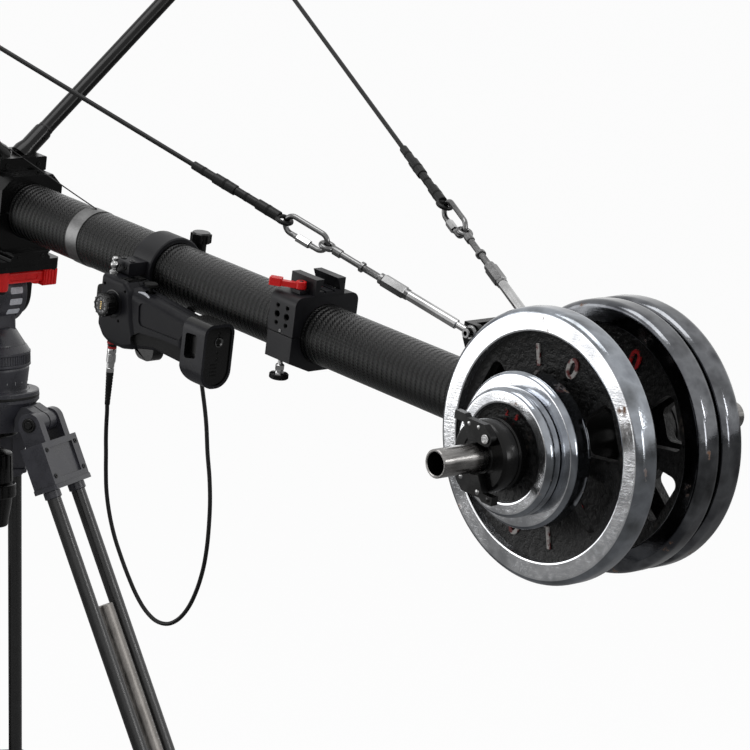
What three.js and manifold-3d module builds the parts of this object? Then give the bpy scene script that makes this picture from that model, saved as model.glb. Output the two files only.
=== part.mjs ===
// Camera jib crane: a carbon tube boom that tilts and pans on a fluid head and a tripod, held
// straight by a V mast and wire stays. Disc weights sit on a bar at the rear end, a hand controller
// and a rail clamp hang on the boom, and a levelled remote head is at the front end.
// Millimetres, +Z up. The weights are at +X, the camera end at -X and the controller on the -Y side.
// The origin is on the floor, in the middle of the crane's box.
import * as THREE from "three";
import { mergeVertices } from "three/addons/utils/BufferGeometryUtils.js";
import Module from "manifold-3d";

const wasm = await Module();
wasm.setup();
const radians = THREE.MathUtils.degToRad;

// Running clearances, and how far a cutting tool passes the faces that it opens.
const clearance = 0.3;
const overrun = 6;
const fuse = 1;

// Numbers of flats on round pieces.
const sides = {
  disc: 28,
  plate: 24,
  wide: 20,
  head: 24,
  round: 16,
  mid: 12,
  bend: 10,
  small: 8,
  wire: 5,
  arc: 4,
  cord: 8,
};

// The whole crane.
const layout = {
  boomSlope: radians(10.2),
  crownHeight: 950,
  tiltAxisRise: 126,
  boomAxisRise: 120,
  rearReach: 1025,
  mastOffset: 21,
  legAzimuth: radians(25.4),
  legSplay: radians(20.5),
  legCount: 3,
};

// Boom tubes, their bonded joint rings and the spigots inside them.
const boom = {
  radius: 34.5,
  wall: 3,
  ringRadius: 35.2,
  ringWidth: 22,
  spigotWall: 4,
  spigotLength: 60,
  rearJointReach: 198,
  centreLength: 1100,
  frontLength: 1200,
};

// Cable gland in the underside of the rear tube.
const gland = { setBack: 89, tilt: radians(58.5), radius: 5.5, height: 3.8, foot: 2 };

// Lug ring near the front, where the front stays end.
const stayRing = {
  reach: 1350,
  width: 26,
  radius: 40,
  rise: 53,
  lugRadius: 9,
  lugHalf: 5.5,
  pinRadius: 5,
  pinHalf: 17,
  stayOffset: 11,
};

// Rear end block that carries the weight bar.
const tail = {
  flange: 8,
  neckLength: 157,
  neckHalf: 26,
  neckHeight: 30,
  bossRadius: 34,
  bossHalf: 29,
};

// Upright yoke on the rear end block, in front of the discs, whose ears hold the rear stays.
const stayYoke = {
  reach: 131,
  stayOffset: 46,
  rise: 84,
  plateFront: 147,
  plateBack: 137,
  footHalf: 20,
  earInner: 33,
  earOuter: 41,
  earRadius: 8,
  earDrop: 10,
  pinRadius: 3.2,
  pinEnd: 54,
  headRadius: 5.4,
  headDepth: 2,
};

const bar = { radius: 15, wall: 3, length: 450, shift: 19 };

// Disc weights: rim and hub radii, and half thicknesses of rim, web and hub.
const discs = {
  large: { radius: 145, rim: 25, hub: 38, rimHalf: 15, webHalf: 6, hubHalf: 17, edge: 5 },
  medium: { radius: 82.5, rim: 19, hub: 30, rimHalf: 14, webHalf: 8, hubHalf: 14, edge: 4 },
  little: { radius: 67.5, rim: 16, hub: 28, rimHalf: 10, webHalf: 5.5, hubHalf: 10, edge: 4 },
};
const slots = { inner: 56, outer: 108, halfAngle: radians(17), centres: [25, -25, 155, -155] };
const discBoreClearance = 0.4;
const discGap = 0.4;

// Lever collar that holds the discs on the bar.
const collar = {
  radius: 38,
  depth: 32,
  pinX: 14,
  pinZ: 24,
  pinRadius: 3,
  camDepth: 8,
  camGap: 0.4,
  camPivotRadius: 8,
  camTop: 38,
  camRear: 16,
  reliefStartShare: 0.68,
  reliefEndShare: 0.4,
  camRelief: 17.5,
  tabLength: 34,
  tabTop: 41,
  tabBottom: 32,
  washerRadius: 5,
  washerDepth: 1.5,
};

// V mast: half spread and rise of the strut tips over the boom's axis.
const mast = {
  spread: 327,
  rise: 346,
  footRise: 44.3,
  footStart: 19,
  strutRadius: 9.5,
  ballRadius: 13,
  socketRadius: 14,
  socketLength: 46,
  bossHalfX: 26,
  bossHalfY: 36,
  bossRise: 17,
};

// Stays; shares are of the stay's length, from the strut tip.
const stay = {
  wire: 2.7,
  ringWire: 2.5,
  ringRadius: 8,
  ferruleRadius: 4.6,
  ferruleLength: 26,
  sleeveStartShare: 0.606,
  sleeveEndShare: 0.731,
  sleeveRadius: 6,
  sleeveStep: 1.2,
  sleeveSteps: 4,
  linkWire: 3,
  linkBend: 10,
  linkHalf: 18,
  eyeWire: 3,
  eyeRadius: 7,
  rodRadius: 3.6,
  couplerStartShare: 0.8745,
  couplerLength: 38,
  couplerRadius: 7.6,
  thickRadius: 5.5,
  rearEyeRadius: 6,
  rearEyeWire: 2.2,
  neckLength: 18,
  frontEyeRadius: 8.4,
  frontEyeWire: 3,
  frontRodLength: 210,
};

// Clamp that holds the boom on the head, in boom-frame heights over the tilt axis.
const cradle = {
  halfLength: 70,
  halfWidth: 46,
  splitHalf: 0.6,
  topRise: 45,
  footWidth: 34,
  footRise: 12,
  chamfer: 16,
  railHalfLength: 80,
  railHalfWidth: 30,
  railHeight: 12,
};

// Fluid head.
const head = {
  ballClearance: 0.4,
  neckRadius: 47,
  neckRise: 6,
  baseRadius: 50,
  baseRise: 30,
  bandRadius: 52,
  bandRise: 50,
  coneRadius: 47,
  coneRise: 56,
  topRadius: 37,
  topRise: 62,
  pedestalX: 28,
  pedestalY: 25,
  drumRadius: 42,
  drumHalf: 31.7,
  trunnionRadius: 14,
  trunnionHalf: 44,
  cheekInner: 32.2,
  cheekOuter: 42,
  cheekRadius: 34,
  plateHalfLength: 75,
  plateHalfWidth: 50,
  plateBottom: 44,
  plateTop: 58,
  studRadius: 5,
  studLength: 22,
};

const platformLever = {
  pivotX: 62,
  pivotY: -28,
  pinRadius: 4,
  pinDrop: 26,
  capRadius: 7,
  capDepth: 3.5,
  barrelRadius: 9,
  armWidth: 14,
  armTop: 2,
  armDrop: 15,
  gripStart: 58,
  reach: 78,
  gripWidth: 20,
  gripDrop: 22,
};

// Tripod crown with a half-ball bowl.
const crown = {
  bowlRadius: 50,
  lipRadius: 62,
  lipDepth: 14,
  wallRadius: 56,
  wallStart: 20,
  cupDepth: 52,
  footRadius: 40,
  holeRadius: 24,
  hingeRadius: 72,
  hingeDrop: 38,
  earHalf: 20,
  earRoot: 48,
  earTop: 18,
  earBottom: 50,
  earBarrel: 13,
  pinRadius: 5,
  pinHalf: 36,
  arcSteps: 3,
};

const knob = {
  dishRadius: 34,
  dishDepth: 6,
  stemRadius: 12,
  stemLength: 10.7,
  gripRadius: 27,
  gripLength: 46,
  collarRadius: 31,
  collarLength: 17,
  tipStart: 26,
  tipEnd: 19,
  tipLength: 38,
  boreDepth: 26,
};

// One leg: a fork casting with two tubes, and a single tube that slides between them.
const leg = {
  cheekOuter: 33,
  cheekRadius: 15,
  blockTop: 26,
  blockBottom: 80,
  blockIn: 16,
  blockOut: 16,
  blockHalf: 46,
  lipDepth: 6,
  lip: 2,
  tubeRadius: 9,
  tubeSpread: 33,
  clampTop: 545,
  clampLength: 55,
  clampOut: 18,
  lowerRadius: 11,
  lowerTop: 243,
  footRadius: 20,
  floorBlockFactor: 4,
  footRise: 14,
  footNeck: 24,
};

const lock = {
  inset: 25,
  barrelRadius: 6,
  barrelHalf: 10,
  earOuter: 16,
  earHeight: 9,
  pinRadius: 2.5,
  length: 60,
  thickness: 6,
  halfWidth: 9,
  standOff: 2.5,
};

// Hand controller and the ring clamp that hangs it on the boom; reach is the distance behind the
// tilt axis along the boom, and rise is measured from the boom's axis.
const grip = {
  nearY: -85,
  farY: -45,
  front: 323,
  headTop: -2,
  headLength: 43,
  shoulderLength: 12,
  shoulderDrop: 5,
  rearTop: -17,
  rearBottom: -72,
  tailLength: 57,
  bellyLength: 52,
  bellyBottom: -70,
  chinLength: 38,
  chinBottom: -82,
  jawLength: 11,
  jawBottom: -77,
  frontBottom: -64,
  round: 6,
  roundSteps: 2,
};
const endCap = {
  length: 39,
  nearY: -87,
  farY: -43,
  top: -12,
  bottom: -88,
  corner: 12,
  windowStart: 5,
  windowEnd: 23,
  windowTop: -34,
  windowBottom: -64,
  windowDepth: 7,
};
const pad = { length: 18, reachOut: 14, nearY: -77, farY: -53, top: -21, bottom: -45, pocket: 12 };
const dial = { setBack: 27, rise: -33, radius: 14, depth: 18, axleRadius: 4, axleLength: 10, groove: 1.5 };
const thumbStick = {
  behindClamp: 36,
  rise: -16,
  ballRadius: 4.5,
  stemRadius: 2.5,
  capRadius: 8,
  capStart: 13,
  capEnd: 18,
  socketDrop: 6,
  mouthRadius: 7.5,
  mouthDrop: 4,
};
const trigger = {
  setBack: 60,
  length: 34,
  nearY: -73,
  farY: -57,
  top: -64,
  bottom: -88,
  round: 9,
  pocketTop: -58,
};
const plug = {
  setBack: 23,
  y: -76,
  socketRadius: 7.5,
  socketDepth: 4,
  bodyRadius: 5.5,
  bodyLength: 19.7,
  neckRadius: 4.6,
  neckLength: 12,
  tipRadius: 3.1,
  tipLength: 40,
};
const ringClamp = {
  lead: 3,
  width: 36,
  radius: 41,
  slitHalf: 2,
  slitRise: 1,
  lugOuter: 58,
  lugTop: 14,
  lugBottom: -11,
  screwY: 49,
  screwRadius: 3,
  armNear: -66,
  armTop: 14,
  armInset: 4,
  armLength: 26,
};
const thumbKnob = { neckRadius: 7.5, neckLength: 13, radius: 13, depth: 13, chamfer: 2 };

// Rail clamp on the boom, with its lever and thumb screw.
const railClamp = {
  behindGrip: 58.7,
  width: 42,
  half: 47,
  top: 45,
  corner: 10,
  bottom: -43,
  sideBottom: -31,
  flatHalf: 16,
  split: 1,
  holeDepth: 6,
  holeSmall: 2.2,
  holeLarge: 3.6,
  holePitch: 10,
  columnPitch: 16,
  holeRise: 20,
  bedNear: -20,
  bedFar: 24,
  bedTop: 50,
  jawTop: 64,
  jawThick: 9,
  jawLip: 3,
};
const railLever = {
  pivotInset: 25,
  pivotY: -27,
  pinRadius: 2.5,
  earHalf: 7,
  earDepth: 4,
  barrelRadius: 6,
  height: 9,
  length: 36,
  width: 8,
  gripLength: 13,
  gripWidth: 12,
  heading: radians(216),
};
const thumbScrew = {
  y: -41,
  radius: 3,
  top: 10,
  collarRadius: 5,
  collarTop: -37,
  knobTop: -47,
  knobRadius: 11,
  knobDepth: 7,
};

// Nose fork, levelling bracket and remote head.
const nose = {
  flange: 10,
  cheekInner: 22,
  cheekOuter: 33,
  cheekHeight: 27,
  pinReach: 62,
  pinRadius: 6,
  pinHalf: 38,
};
const bracket = {
  barrelRadius: 20,
  armHalfX: 17,
  armDrop: 90,
  motorRadius: 46,
  motorHeight: 78,
  spindle: 12,
};
const yoke = {
  hubRadius: 42,
  hubDepth: 14,
  beamHalf: 26,
  beamDepth: 16,
  armOuter: 128,
  armThick: 16,
  axisDrop: 150,
  motorRadius: 40,
  motorDepth: 44,
  axleRadius: 10,
  axleLength: 12,
};
const stage = {
  hubRadius: 30,
  hubDepth: 14,
  armHalf: 24,
  baseDrop: 62,
  baseThick: 12,
  baseHalfX: 75,
  baseFar: 66,
};

// Control cable, as points in the boom's frame: distance behind the controller's front, y and rise,
// chosen by hand.
const cable = {
  radius: 2.5,
  steps: 46,
  route: [
    [25, -76, -158.3], [26, -76, -166], [27, -76, -180], [29, -76, -198], [32, -76, -216],
    [35, -76, -236], [40, -76, -260], [48, -75, -285], [59, -73, -310], [72, -70, -333],
    [86, -67, -354], [101, -64, -373], [117, -61, -387], [134, -58, -394], [151, -55, -392],
    [165, -52, -382], [177, -49, -364], [185, -46, -340], [189, -43, -312], [189, -41, -286],
    [186, -39, -260], [181, -37, -233], [173, -35, -206], [164, -34, -180], [153, -32, -145],
    [140, -31, -112], [127, -30, -84], [115, -30, -64], [104, -29.5, -53], [95, -27.5, -46.5],
    [90, -25, -42], [89, -22.8, -37.2], [89, -20.2, -33],
  ],
};

const finishes = {
  carbon: new THREE.MeshStandardMaterial({ color: 0x17181a, roughness: 0.35, metalness: 0.1 }),
  blackMetal: new THREE.MeshStandardMaterial({ color: 0x1b1b1f, roughness: 0.5, metalness: 0.4 }),
  aluminium: new THREE.MeshStandardMaterial({ color: 0xb4b4ba, roughness: 0.4, metalness: 0.9 }),
  steel: new THREE.MeshStandardMaterial({ color: 0x9a9a94, roughness: 0.3, metalness: 1 }),
  chrome: new THREE.MeshStandardMaterial({ color: 0xd8d8dc, roughness: 0.15, metalness: 1 }),
  wire: new THREE.MeshStandardMaterial({ color: 0x101012, roughness: 0.6, metalness: 0.1 }),
  red: new THREE.MeshStandardMaterial({ color: 0xc01418, roughness: 0.35, metalness: 0.4 }),
  greyPlastic: new THREE.MeshStandardMaterial({ color: 0x3a3a41, roughness: 0.6, metalness: 0 }),
  blackPlastic: new THREE.MeshStandardMaterial({ color: 0x111113, roughness: 0.5, metalness: 0 }),
  greyMetal: new THREE.MeshStandardMaterial({ color: 0x77777f, roughness: 0.45, metalness: 0.8 }),
};

// Turns a closed three.js geometry into a solid that can be cut and joined.
function solidOf(geometry) {
  const bare = geometry.clone();
  bare.deleteAttribute("normal");
  bare.deleteAttribute("uv");
  const merged = mergeVertices(bare);
  const points = new Float32Array(merged.attributes.position.array);
  const index = merged.index.array;
  const triangles = [];
  let volume = 0;
  const corner = [new THREE.Vector3(), new THREE.Vector3(), new THREE.Vector3()];
  for (let i = 0; i < index.length; i += 3) {
    const [a, b, c] = [index[i], index[i + 1], index[i + 2]];
    if (a === b || b === c || c === a) continue;
    triangles.push(a, b, c);
    [a, b, c].forEach((vertex, k) => corner[k].fromArray(points, vertex * 3));
    volume += corner[0].dot(corner[1].cross(corner[2]));
  }
  if (volume < 0) triangles.reverse();
  const mesh = new wasm.Mesh({
    numProp: 3,
    vertProperties: points,
    triVerts: new Uint32Array(triangles),
  });
  return new wasm.Manifold(mesh);
}

function geometryOf(solid) {
  const mesh = solid.getMesh();
  const geometry = new THREE.BufferGeometry();
  geometry.setAttribute("position", new THREE.BufferAttribute(new Float32Array(mesh.vertProperties), 3));
  geometry.setIndex(new THREE.BufferAttribute(new Uint32Array(mesh.triVerts), 1));
  geometry.computeVertexNormals();
  return geometry;
}

function join(...solids) {
  return solids.flat().reduce((sum, next) => sum.add(next));
}

function cut(base, ...tools) {
  return tools.flat().reduce((rest, tool) => rest.subtract(tool), base);
}

function moved(solid, matrix) {
  return solidOf(geometryOf(solid).applyMatrix4(matrix));
}

function vec(x, y, z) {
  return new THREE.Vector3(x, y, z);
}

function block(x0, x1, y0, y1, z0, z1) {
  const box = new THREE.BoxGeometry(x1 - x0, y1 - y0, z1 - z0);
  return solidOf(box.translate((x0 + x1) / 2, (y0 + y1) / 2, (z0 + z1) / 2));
}

// Turns a geometry made about +Y so that its axis runs from one point to another.
function aim(geometry, from, to) {
  const direction = to.clone().sub(from).normalize();
  const turn = new THREE.Quaternion().setFromUnitVectors(vec(0, 1, 0), direction);
  geometry.applyQuaternion(turn);
  return geometry.translate(from.x, from.y, from.z);
}

function cone(from, to, fromRadius, toRadius, flats = sides.mid) {
  const length = from.distanceTo(to);
  const shape = new THREE.CylinderGeometry(toRadius, fromRadius, length, flats);
  return solidOf(aim(shape.translate(0, length / 2, 0), from, to));
}

function rod(from, to, radius, flats = sides.mid) {
  return cone(from, to, radius, radius, flats);
}

// Hole for a pin that turns in it: its flats clear the pin by the running clearance.
function pinBore(from, to, radius, flats) {
  return rod(from, to, (radius + clearance) / Math.cos(Math.PI / flats), flats);
}

// Lathe solid about the line from one point towards another; the profile is [radius, along] pairs.
function turned(profile, from, towards, flats = sides.round) {
  const points = profile.map(([radius, along]) => new THREE.Vector2(radius, along));
  if (profile[0][0] > 0) points.push(points[0].clone());
  return solidOf(aim(new THREE.LatheGeometry(points, flats), from, towards));
}

function ball(centre, radius, flats = sides.bend) {
  const sphere = new THREE.SphereGeometry(radius, flats, Math.ceil(flats / 2));
  return solidOf(sphere.translate(centre.x, centre.y, centre.z));
}

// Ring about a centre, whose hole faces along the given normal.
function torus(centre, normal, radius, wire, around = sides.bend, section = sides.wire) {
  const ring = new THREE.TorusGeometry(radius, wire, section, around).rotateX(Math.PI / 2);
  return solidOf(aim(ring, centre, centre.clone().add(normal)));
}

// Prisms of a drawn outline: along Z the outline is in x and y, along Y in x and z, along X in y and z.
function prismZ(shape, z0, z1, options = {}) {
  const body = new THREE.ExtrudeGeometry(
    shape,
    { depth: z1 - z0, bevelEnabled: false, curveSegments: sides.arc, ...options },
  );
  return solidOf(body.translate(0, 0, z0));
}

function prismY(shape, y0, y1, options = {}) {
  const basis = new THREE.Matrix4().makeBasis(vec(1, 0, 0), vec(0, 0, 1), vec(0, -1, 0));
  const body = new THREE.ExtrudeGeometry(
    shape,
    { depth: y1 - y0, bevelEnabled: false, curveSegments: sides.arc, ...options },
  );
  return solidOf(body.applyMatrix4(basis).translate(0, y1, 0));
}

function prismX(shape, x0, x1, options = {}) {
  const basis = new THREE.Matrix4().makeBasis(vec(0, 1, 0), vec(0, 0, 1), vec(1, 0, 0));
  const body = new THREE.ExtrudeGeometry(
    shape,
    { depth: x1 - x0, bevelEnabled: false, curveSegments: sides.arc, ...options },
  );
  return solidOf(body.applyMatrix4(basis).translate(x0, 0, 0));
}

function outline(points) {
  return new THREE.Shape(points.map(([x, y]) => new THREE.Vector2(x, y)));
}

function roundedRectangle(x0, x1, y0, y1, corner) {
  const shape = new THREE.Shape();
  shape.absarc(x1 - corner, y0 + corner, corner, -Math.PI / 2, 0);
  shape.absarc(x1 - corner, y1 - corner, corner, 0, Math.PI / 2);
  shape.absarc(x0 + corner, y1 - corner, corner, Math.PI / 2, Math.PI);
  shape.absarc(x0 + corner, y0 + corner, corner, Math.PI, Math.PI * 1.5);
  return shape;
}

function piece(parent, name, solid, finish) {
  const mesh = new THREE.Mesh(geometryOf(solid), finish);
  mesh.name = name;
  parent.add(mesh);
  return mesh;
}

// Places worked out from the sizes, in the boom's frame: x behind the tilt axis, z over it.
const axisZ = layout.boomAxisRise;
const boreRadius = boom.radius - boom.wall;
const spigotRadius = boreRadius - clearance;
const tailFace = layout.rearReach - tail.neckLength;
const rearTubeEnd = tailFace - tail.flange - clearance;
const rearRingFront = boom.rearJointReach - boom.ringWidth / 2;
const rearRingBack = boom.rearJointReach + boom.ringWidth / 2;
const centreFront = rearRingFront - clearance - boom.centreLength;
const frontRingBack = centreFront - clearance;
const frontRingFront = frontRingBack - boom.ringWidth;
const noseFace = frontRingFront - boom.frontLength;
const nosePinX = noseFace - clearance - nose.flange - nose.pinReach;
const mastTipZ = axisZ + mast.rise;

// Places along the boom that follow the controller's front.
const gripJaw = grip.front + grip.jawLength;
const gripChin = gripJaw + grip.chinLength;
const gripBelly = gripChin + grip.bellyLength;
const gripRear = gripBelly + grip.tailLength;
const gripHeadEnd = grip.front + grip.headLength;
const gripShoulder = gripHeadEnd + grip.shoulderLength;
const ringFront = grip.front - ringClamp.lead;
const ringBack = ringFront + ringClamp.width;
const stickReach = ringBack + thumbStick.behindClamp;
const dialReach = grip.front + dial.setBack;
const triggerFront = grip.front + trigger.setBack;
const triggerBack = triggerFront + trigger.length;
const plugReach = grip.front + plug.setBack;
const glandReach = grip.front + gland.setBack;
const railClampFront = gripRear + clearance + endCap.length + railClamp.behindGrip;
const railClampBack = railClampFront + railClamp.width;
const leverPivotX = railClampFront + railLever.pivotInset;
const cableRoute = cable.route.map(([setBack, y, rise]) => vec(grip.front + setBack, y, axisZ + rise));
const lockDrop = leg.clampTop + lock.inset;
const clampBottom = leg.clampTop + leg.clampLength;
const frontAnchor = vec(-stayRing.reach, stayRing.stayOffset, axisZ + stayRing.rise);
const rearAnchor = vec(layout.rearReach - stayYoke.reach, stayYoke.stayOffset, axisZ + stayYoke.rise);

const boomFrame = new THREE.Group();
const headFrame = new THREE.Group();
const tripodFrame = new THREE.Group();
const crane = new THREE.Group();
crane.name = "camera_jib_crane";

// Hollow tube along the boom.
function boomTube(x0, x1) {
  const profile = [[boreRadius, x0], [boom.radius, x0], [boom.radius, x1], [boreRadius, x1]];
  return turned(profile, vec(0, 0, axisZ), vec(fuse, 0, axisZ), sides.wide);
}

// Ring flush with the tubes, with a hollow spigot to one side or to both.
function jointRing(x0, x1, frontSpigot, rearSpigot) {
  const inner = spigotRadius - boom.spigotWall;
  const profile = [
    [inner, x0 - frontSpigot],
    [spigotRadius, x0 - frontSpigot],
    [spigotRadius, x0],
    [boom.ringRadius, x0],
    [boom.ringRadius, x1],
    [spigotRadius, x1],
    [spigotRadius, x1 + rearSpigot],
    [inner, x1 + rearSpigot],
  ];
  const kept = profile.filter((point, i) => i === 0 || point.some((value, k) => value !== profile[i - 1][k]));
  return turned(kept, vec(0, 0, axisZ), vec(fuse, 0, axisZ), sides.wide);
}

function addBoom() {
  const glandOut = vec(0, -Math.cos(gland.tilt), -Math.sin(gland.tilt));
  const glandAt = (radius) => vec(glandReach, 0, axisZ).addScaledVector(glandOut, radius);
  const glandBoss = rod(
    glandAt(boom.radius - gland.foot),
    glandAt(boom.radius + gland.height),
    gland.radius,
    sides.small,
  );
  const rearTube = join(boomTube(rearRingBack + clearance, rearTubeEnd), glandBoss);
  piece(boomFrame, "boom_rear_tube", rearTube, finishes.carbon);
  const rearRing = jointRing(rearRingFront, rearRingBack, boom.spigotLength, boom.spigotLength);
  piece(boomFrame, "boom_joint_ring", rearRing, finishes.aluminium);
  piece(boomFrame, "boom_centre_tube", boomTube(centreFront, rearRingFront - clearance), finishes.carbon);
  const ringX = -stayRing.reach;
  const lugRing = turned(
    [
      [boom.radius - fuse, ringX - stayRing.width / 2],
      [stayRing.radius, ringX - stayRing.width / 2],
      [stayRing.radius, ringX + stayRing.width / 2],
      [boom.radius - fuse, ringX + stayRing.width / 2],
    ],
    vec(0, 0, axisZ),
    vec(fuse, 0, axisZ),
    sides.round,
  );
  const frontTube = join(
    jointRing(frontRingFront, frontRingBack, 0, boom.spigotLength),
    boomTube(noseFace, frontRingFront + fuse),
    lugRing,
    stayLug(),
  );
  piece(boomFrame, "boom_front_tube", frontTube, finishes.carbon);
}

// Upright lug with a cross pin for the ends of the front stays.
function stayLug() {
  const { x, z } = frontAnchor;
  const root = axisZ + boom.radius - fuse;
  const shape = new THREE.Shape();
  shape.moveTo(x - stayRing.lugRadius, root);
  shape.lineTo(x + stayRing.lugRadius, root);
  shape.lineTo(x + stayRing.lugRadius, z);
  shape.absarc(x, z, stayRing.lugRadius, 0, Math.PI);
  const pin = rod(vec(x, -stayRing.pinHalf, z), vec(x, stayRing.pinHalf, z), stayRing.pinRadius, sides.bend);
  return join(prismY(shape, -stayRing.lugHalf, stayRing.lugHalf), pin);
}

// Upright plate with an ear and a headed pin on each side for the rear stays.
function rearYoke() {
  const { x, z } = rearAnchor;
  const front = layout.rearReach - stayYoke.plateFront;
  const back = layout.rearReach - stayYoke.plateBack;
  const plate = prismX(
    outline([
      [-stayYoke.footHalf, axisZ + tail.neckHeight - fuse],
      [stayYoke.footHalf, axisZ + tail.neckHeight - fuse],
      [stayYoke.earOuter, z - stayYoke.earDrop],
      [stayYoke.earOuter, z + stayYoke.earRadius],
      [-stayYoke.earOuter, z + stayYoke.earRadius],
      [-stayYoke.earOuter, z - stayYoke.earDrop],
    ]),
    front,
    back,
  );
  const ears = [-1, 1].map((side) => {
    const edges = [side * stayYoke.earInner, side * stayYoke.earOuter];
    const shape = new THREE.Shape();
    shape.moveTo(back - fuse, z + stayYoke.earRadius);
    shape.lineTo(back - fuse, z - stayYoke.earRadius);
    shape.absarc(x, z, stayYoke.earRadius, -Math.PI / 2, Math.PI / 2);
    const pinStart = vec(x, side * stayYoke.earInner, z);
    const pinEnd = vec(x, side * stayYoke.pinEnd, z);
    const headStart = vec(x, side * (stayYoke.pinEnd - stayYoke.headDepth), z);
    return join(
      prismY(shape, Math.min(...edges), Math.max(...edges)),
      rod(pinStart, pinEnd, stayYoke.pinRadius, sides.small),
      rod(headStart, pinEnd, stayYoke.headRadius, sides.small),
    );
  });
  return join(plate, ears);
}

function addTail() {
  const x = layout.rearReach;
  const inner = spigotRadius - boom.spigotWall;
  const plugEnd = turned(
    [
      [0, tailFace - tail.flange - boom.spigotLength],
      [inner, tailFace - tail.flange - boom.spigotLength],
      [spigotRadius, tailFace - tail.flange - boom.spigotLength + boom.spigotWall],
      [spigotRadius, tailFace - tail.flange],
      [boom.ringRadius, tailFace - tail.flange],
      [boom.ringRadius, tailFace],
      [0, tailFace],
    ],
    vec(0, 0, axisZ),
    vec(fuse, 0, axisZ),
    sides.wide,
  );
  const neck = block(
    tailFace - fuse,
    x,
    -tail.neckHalf,
    tail.neckHalf,
    axisZ - tail.neckHeight,
    axisZ + tail.neckHeight,
  );
  const boss = rod(vec(x, -tail.bossHalf, axisZ), vec(x, tail.bossHalf, axisZ), tail.bossRadius, sides.wide);
  const bore = rod(
    vec(x, -tail.bossHalf - overrun, axisZ),
    vec(x, tail.bossHalf + overrun, axisZ),
    bar.radius + clearance,
    sides.round,
  );
  piece(boomFrame, "tail_block", join(cut(join(plugEnd, neck, boss), bore), rearYoke()), finishes.blackMetal);
  const y0 = bar.shift - bar.length / 2;
  const tube = turned(
    [
      [bar.radius - bar.wall, 0],
      [bar.radius, 0],
      [bar.radius, bar.length],
      [bar.radius - bar.wall, bar.length],
    ],
    vec(x, y0, axisZ),
    vec(x, y0 + bar.length, axisZ),
    sides.round,
  );
  piece(boomFrame, "weight_bar", tube, finishes.steel);
}

// One disc weight about the bar, with its middle plane at y.
function discSolid(disc, y, slotted) {
  const flats = slotted ? sides.disc : sides.plate;
  const web = disc.radius - disc.rim;
  const bore = bar.radius + discBoreClearance;
  const half = [
    [bore, disc.hubHalf],
    [disc.hub, disc.hubHalf],
    [disc.hub + disc.edge, disc.webHalf],
    [web - disc.edge / 2, disc.webHalf],
    [web, disc.rimHalf],
    [disc.radius - disc.edge, disc.rimHalf],
    [disc.radius, disc.rimHalf - disc.edge],
  ];
  const mirrored = half.map(([radius, along]) => [radius, -along]).reverse();
  const at = vec(layout.rearReach, y, axisZ);
  const body = turned([...half, ...mirrored], at, at.clone().add(vec(0, fuse, 0)), flats);
  if (!slotted) return body;
  const openings = slots.centres.map((degrees) => {
    const middle = radians(degrees);
    const shape = new THREE.Shape();
    shape.absarc(at.x, at.z, slots.outer, middle - slots.halfAngle, middle + slots.halfAngle);
    shape.absarc(at.x, at.z, slots.inner, middle + slots.halfAngle, middle - slots.halfAngle, true);
    return prismY(shape, y - disc.webHalf - overrun, y + disc.webHalf + overrun);
  });
  return cut(body, openings);
}

// Discs, collar and cam lever on one end of the bar; side is -1 for the controller's side.
function addWeights(side, label, stack) {
  let face = tail.bossHalf + discGap;
  stack.forEach(([kind, name]) => {
    const disc = discs[kind];
    const y = side * (face + disc.hubHalf);
    piece(boomFrame, `${label}_${name}`, discSolid(disc, y, kind === "large"), finishes.chrome);
    face += 2 * disc.hubHalf + discGap;
  });
  addCollar(side, label, face);
}

function camOutline(sign) {
  const shape = new THREE.Shape();
  const toX = (x) => layout.rearReach + sign * x;
  const toZ = (z) => axisZ + sign * z;
  const pivotAngle = sign > 0 ? 0 : Math.PI;
  const quarter = Math.PI / 2;
  shape.absarc(
    toX(collar.pinX),
    toZ(collar.pinZ),
    collar.camPivotRadius,
    pivotAngle - quarter,
    pivotAngle + quarter / 2,
  );
  shape.lineTo(toX(collar.pinX - collar.camPivotRadius / 2), toZ(collar.camTop));
  shape.lineTo(toX(-collar.camRear), toZ(collar.camTop));
  shape.lineTo(toX(-collar.camRear - collar.camPivotRadius / 2), toZ(collar.tabTop));
  shape.lineTo(toX(-collar.tabLength), toZ(collar.tabTop));
  shape.lineTo(toX(-collar.tabLength), toZ(collar.tabBottom));
  shape.lineTo(toX(-collar.camRear - collar.camPivotRadius / 2), toZ(collar.tabBottom));
  const startAngle = Math.PI * collar.reliefStartShare;
  const endAngle = Math.PI * collar.reliefEndShare;
  const turn = sign > 0 ? 0 : Math.PI;
  shape.absarc(layout.rearReach, axisZ, collar.camRelief, startAngle + turn, endAngle + turn, true);
  return shape;
}

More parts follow.
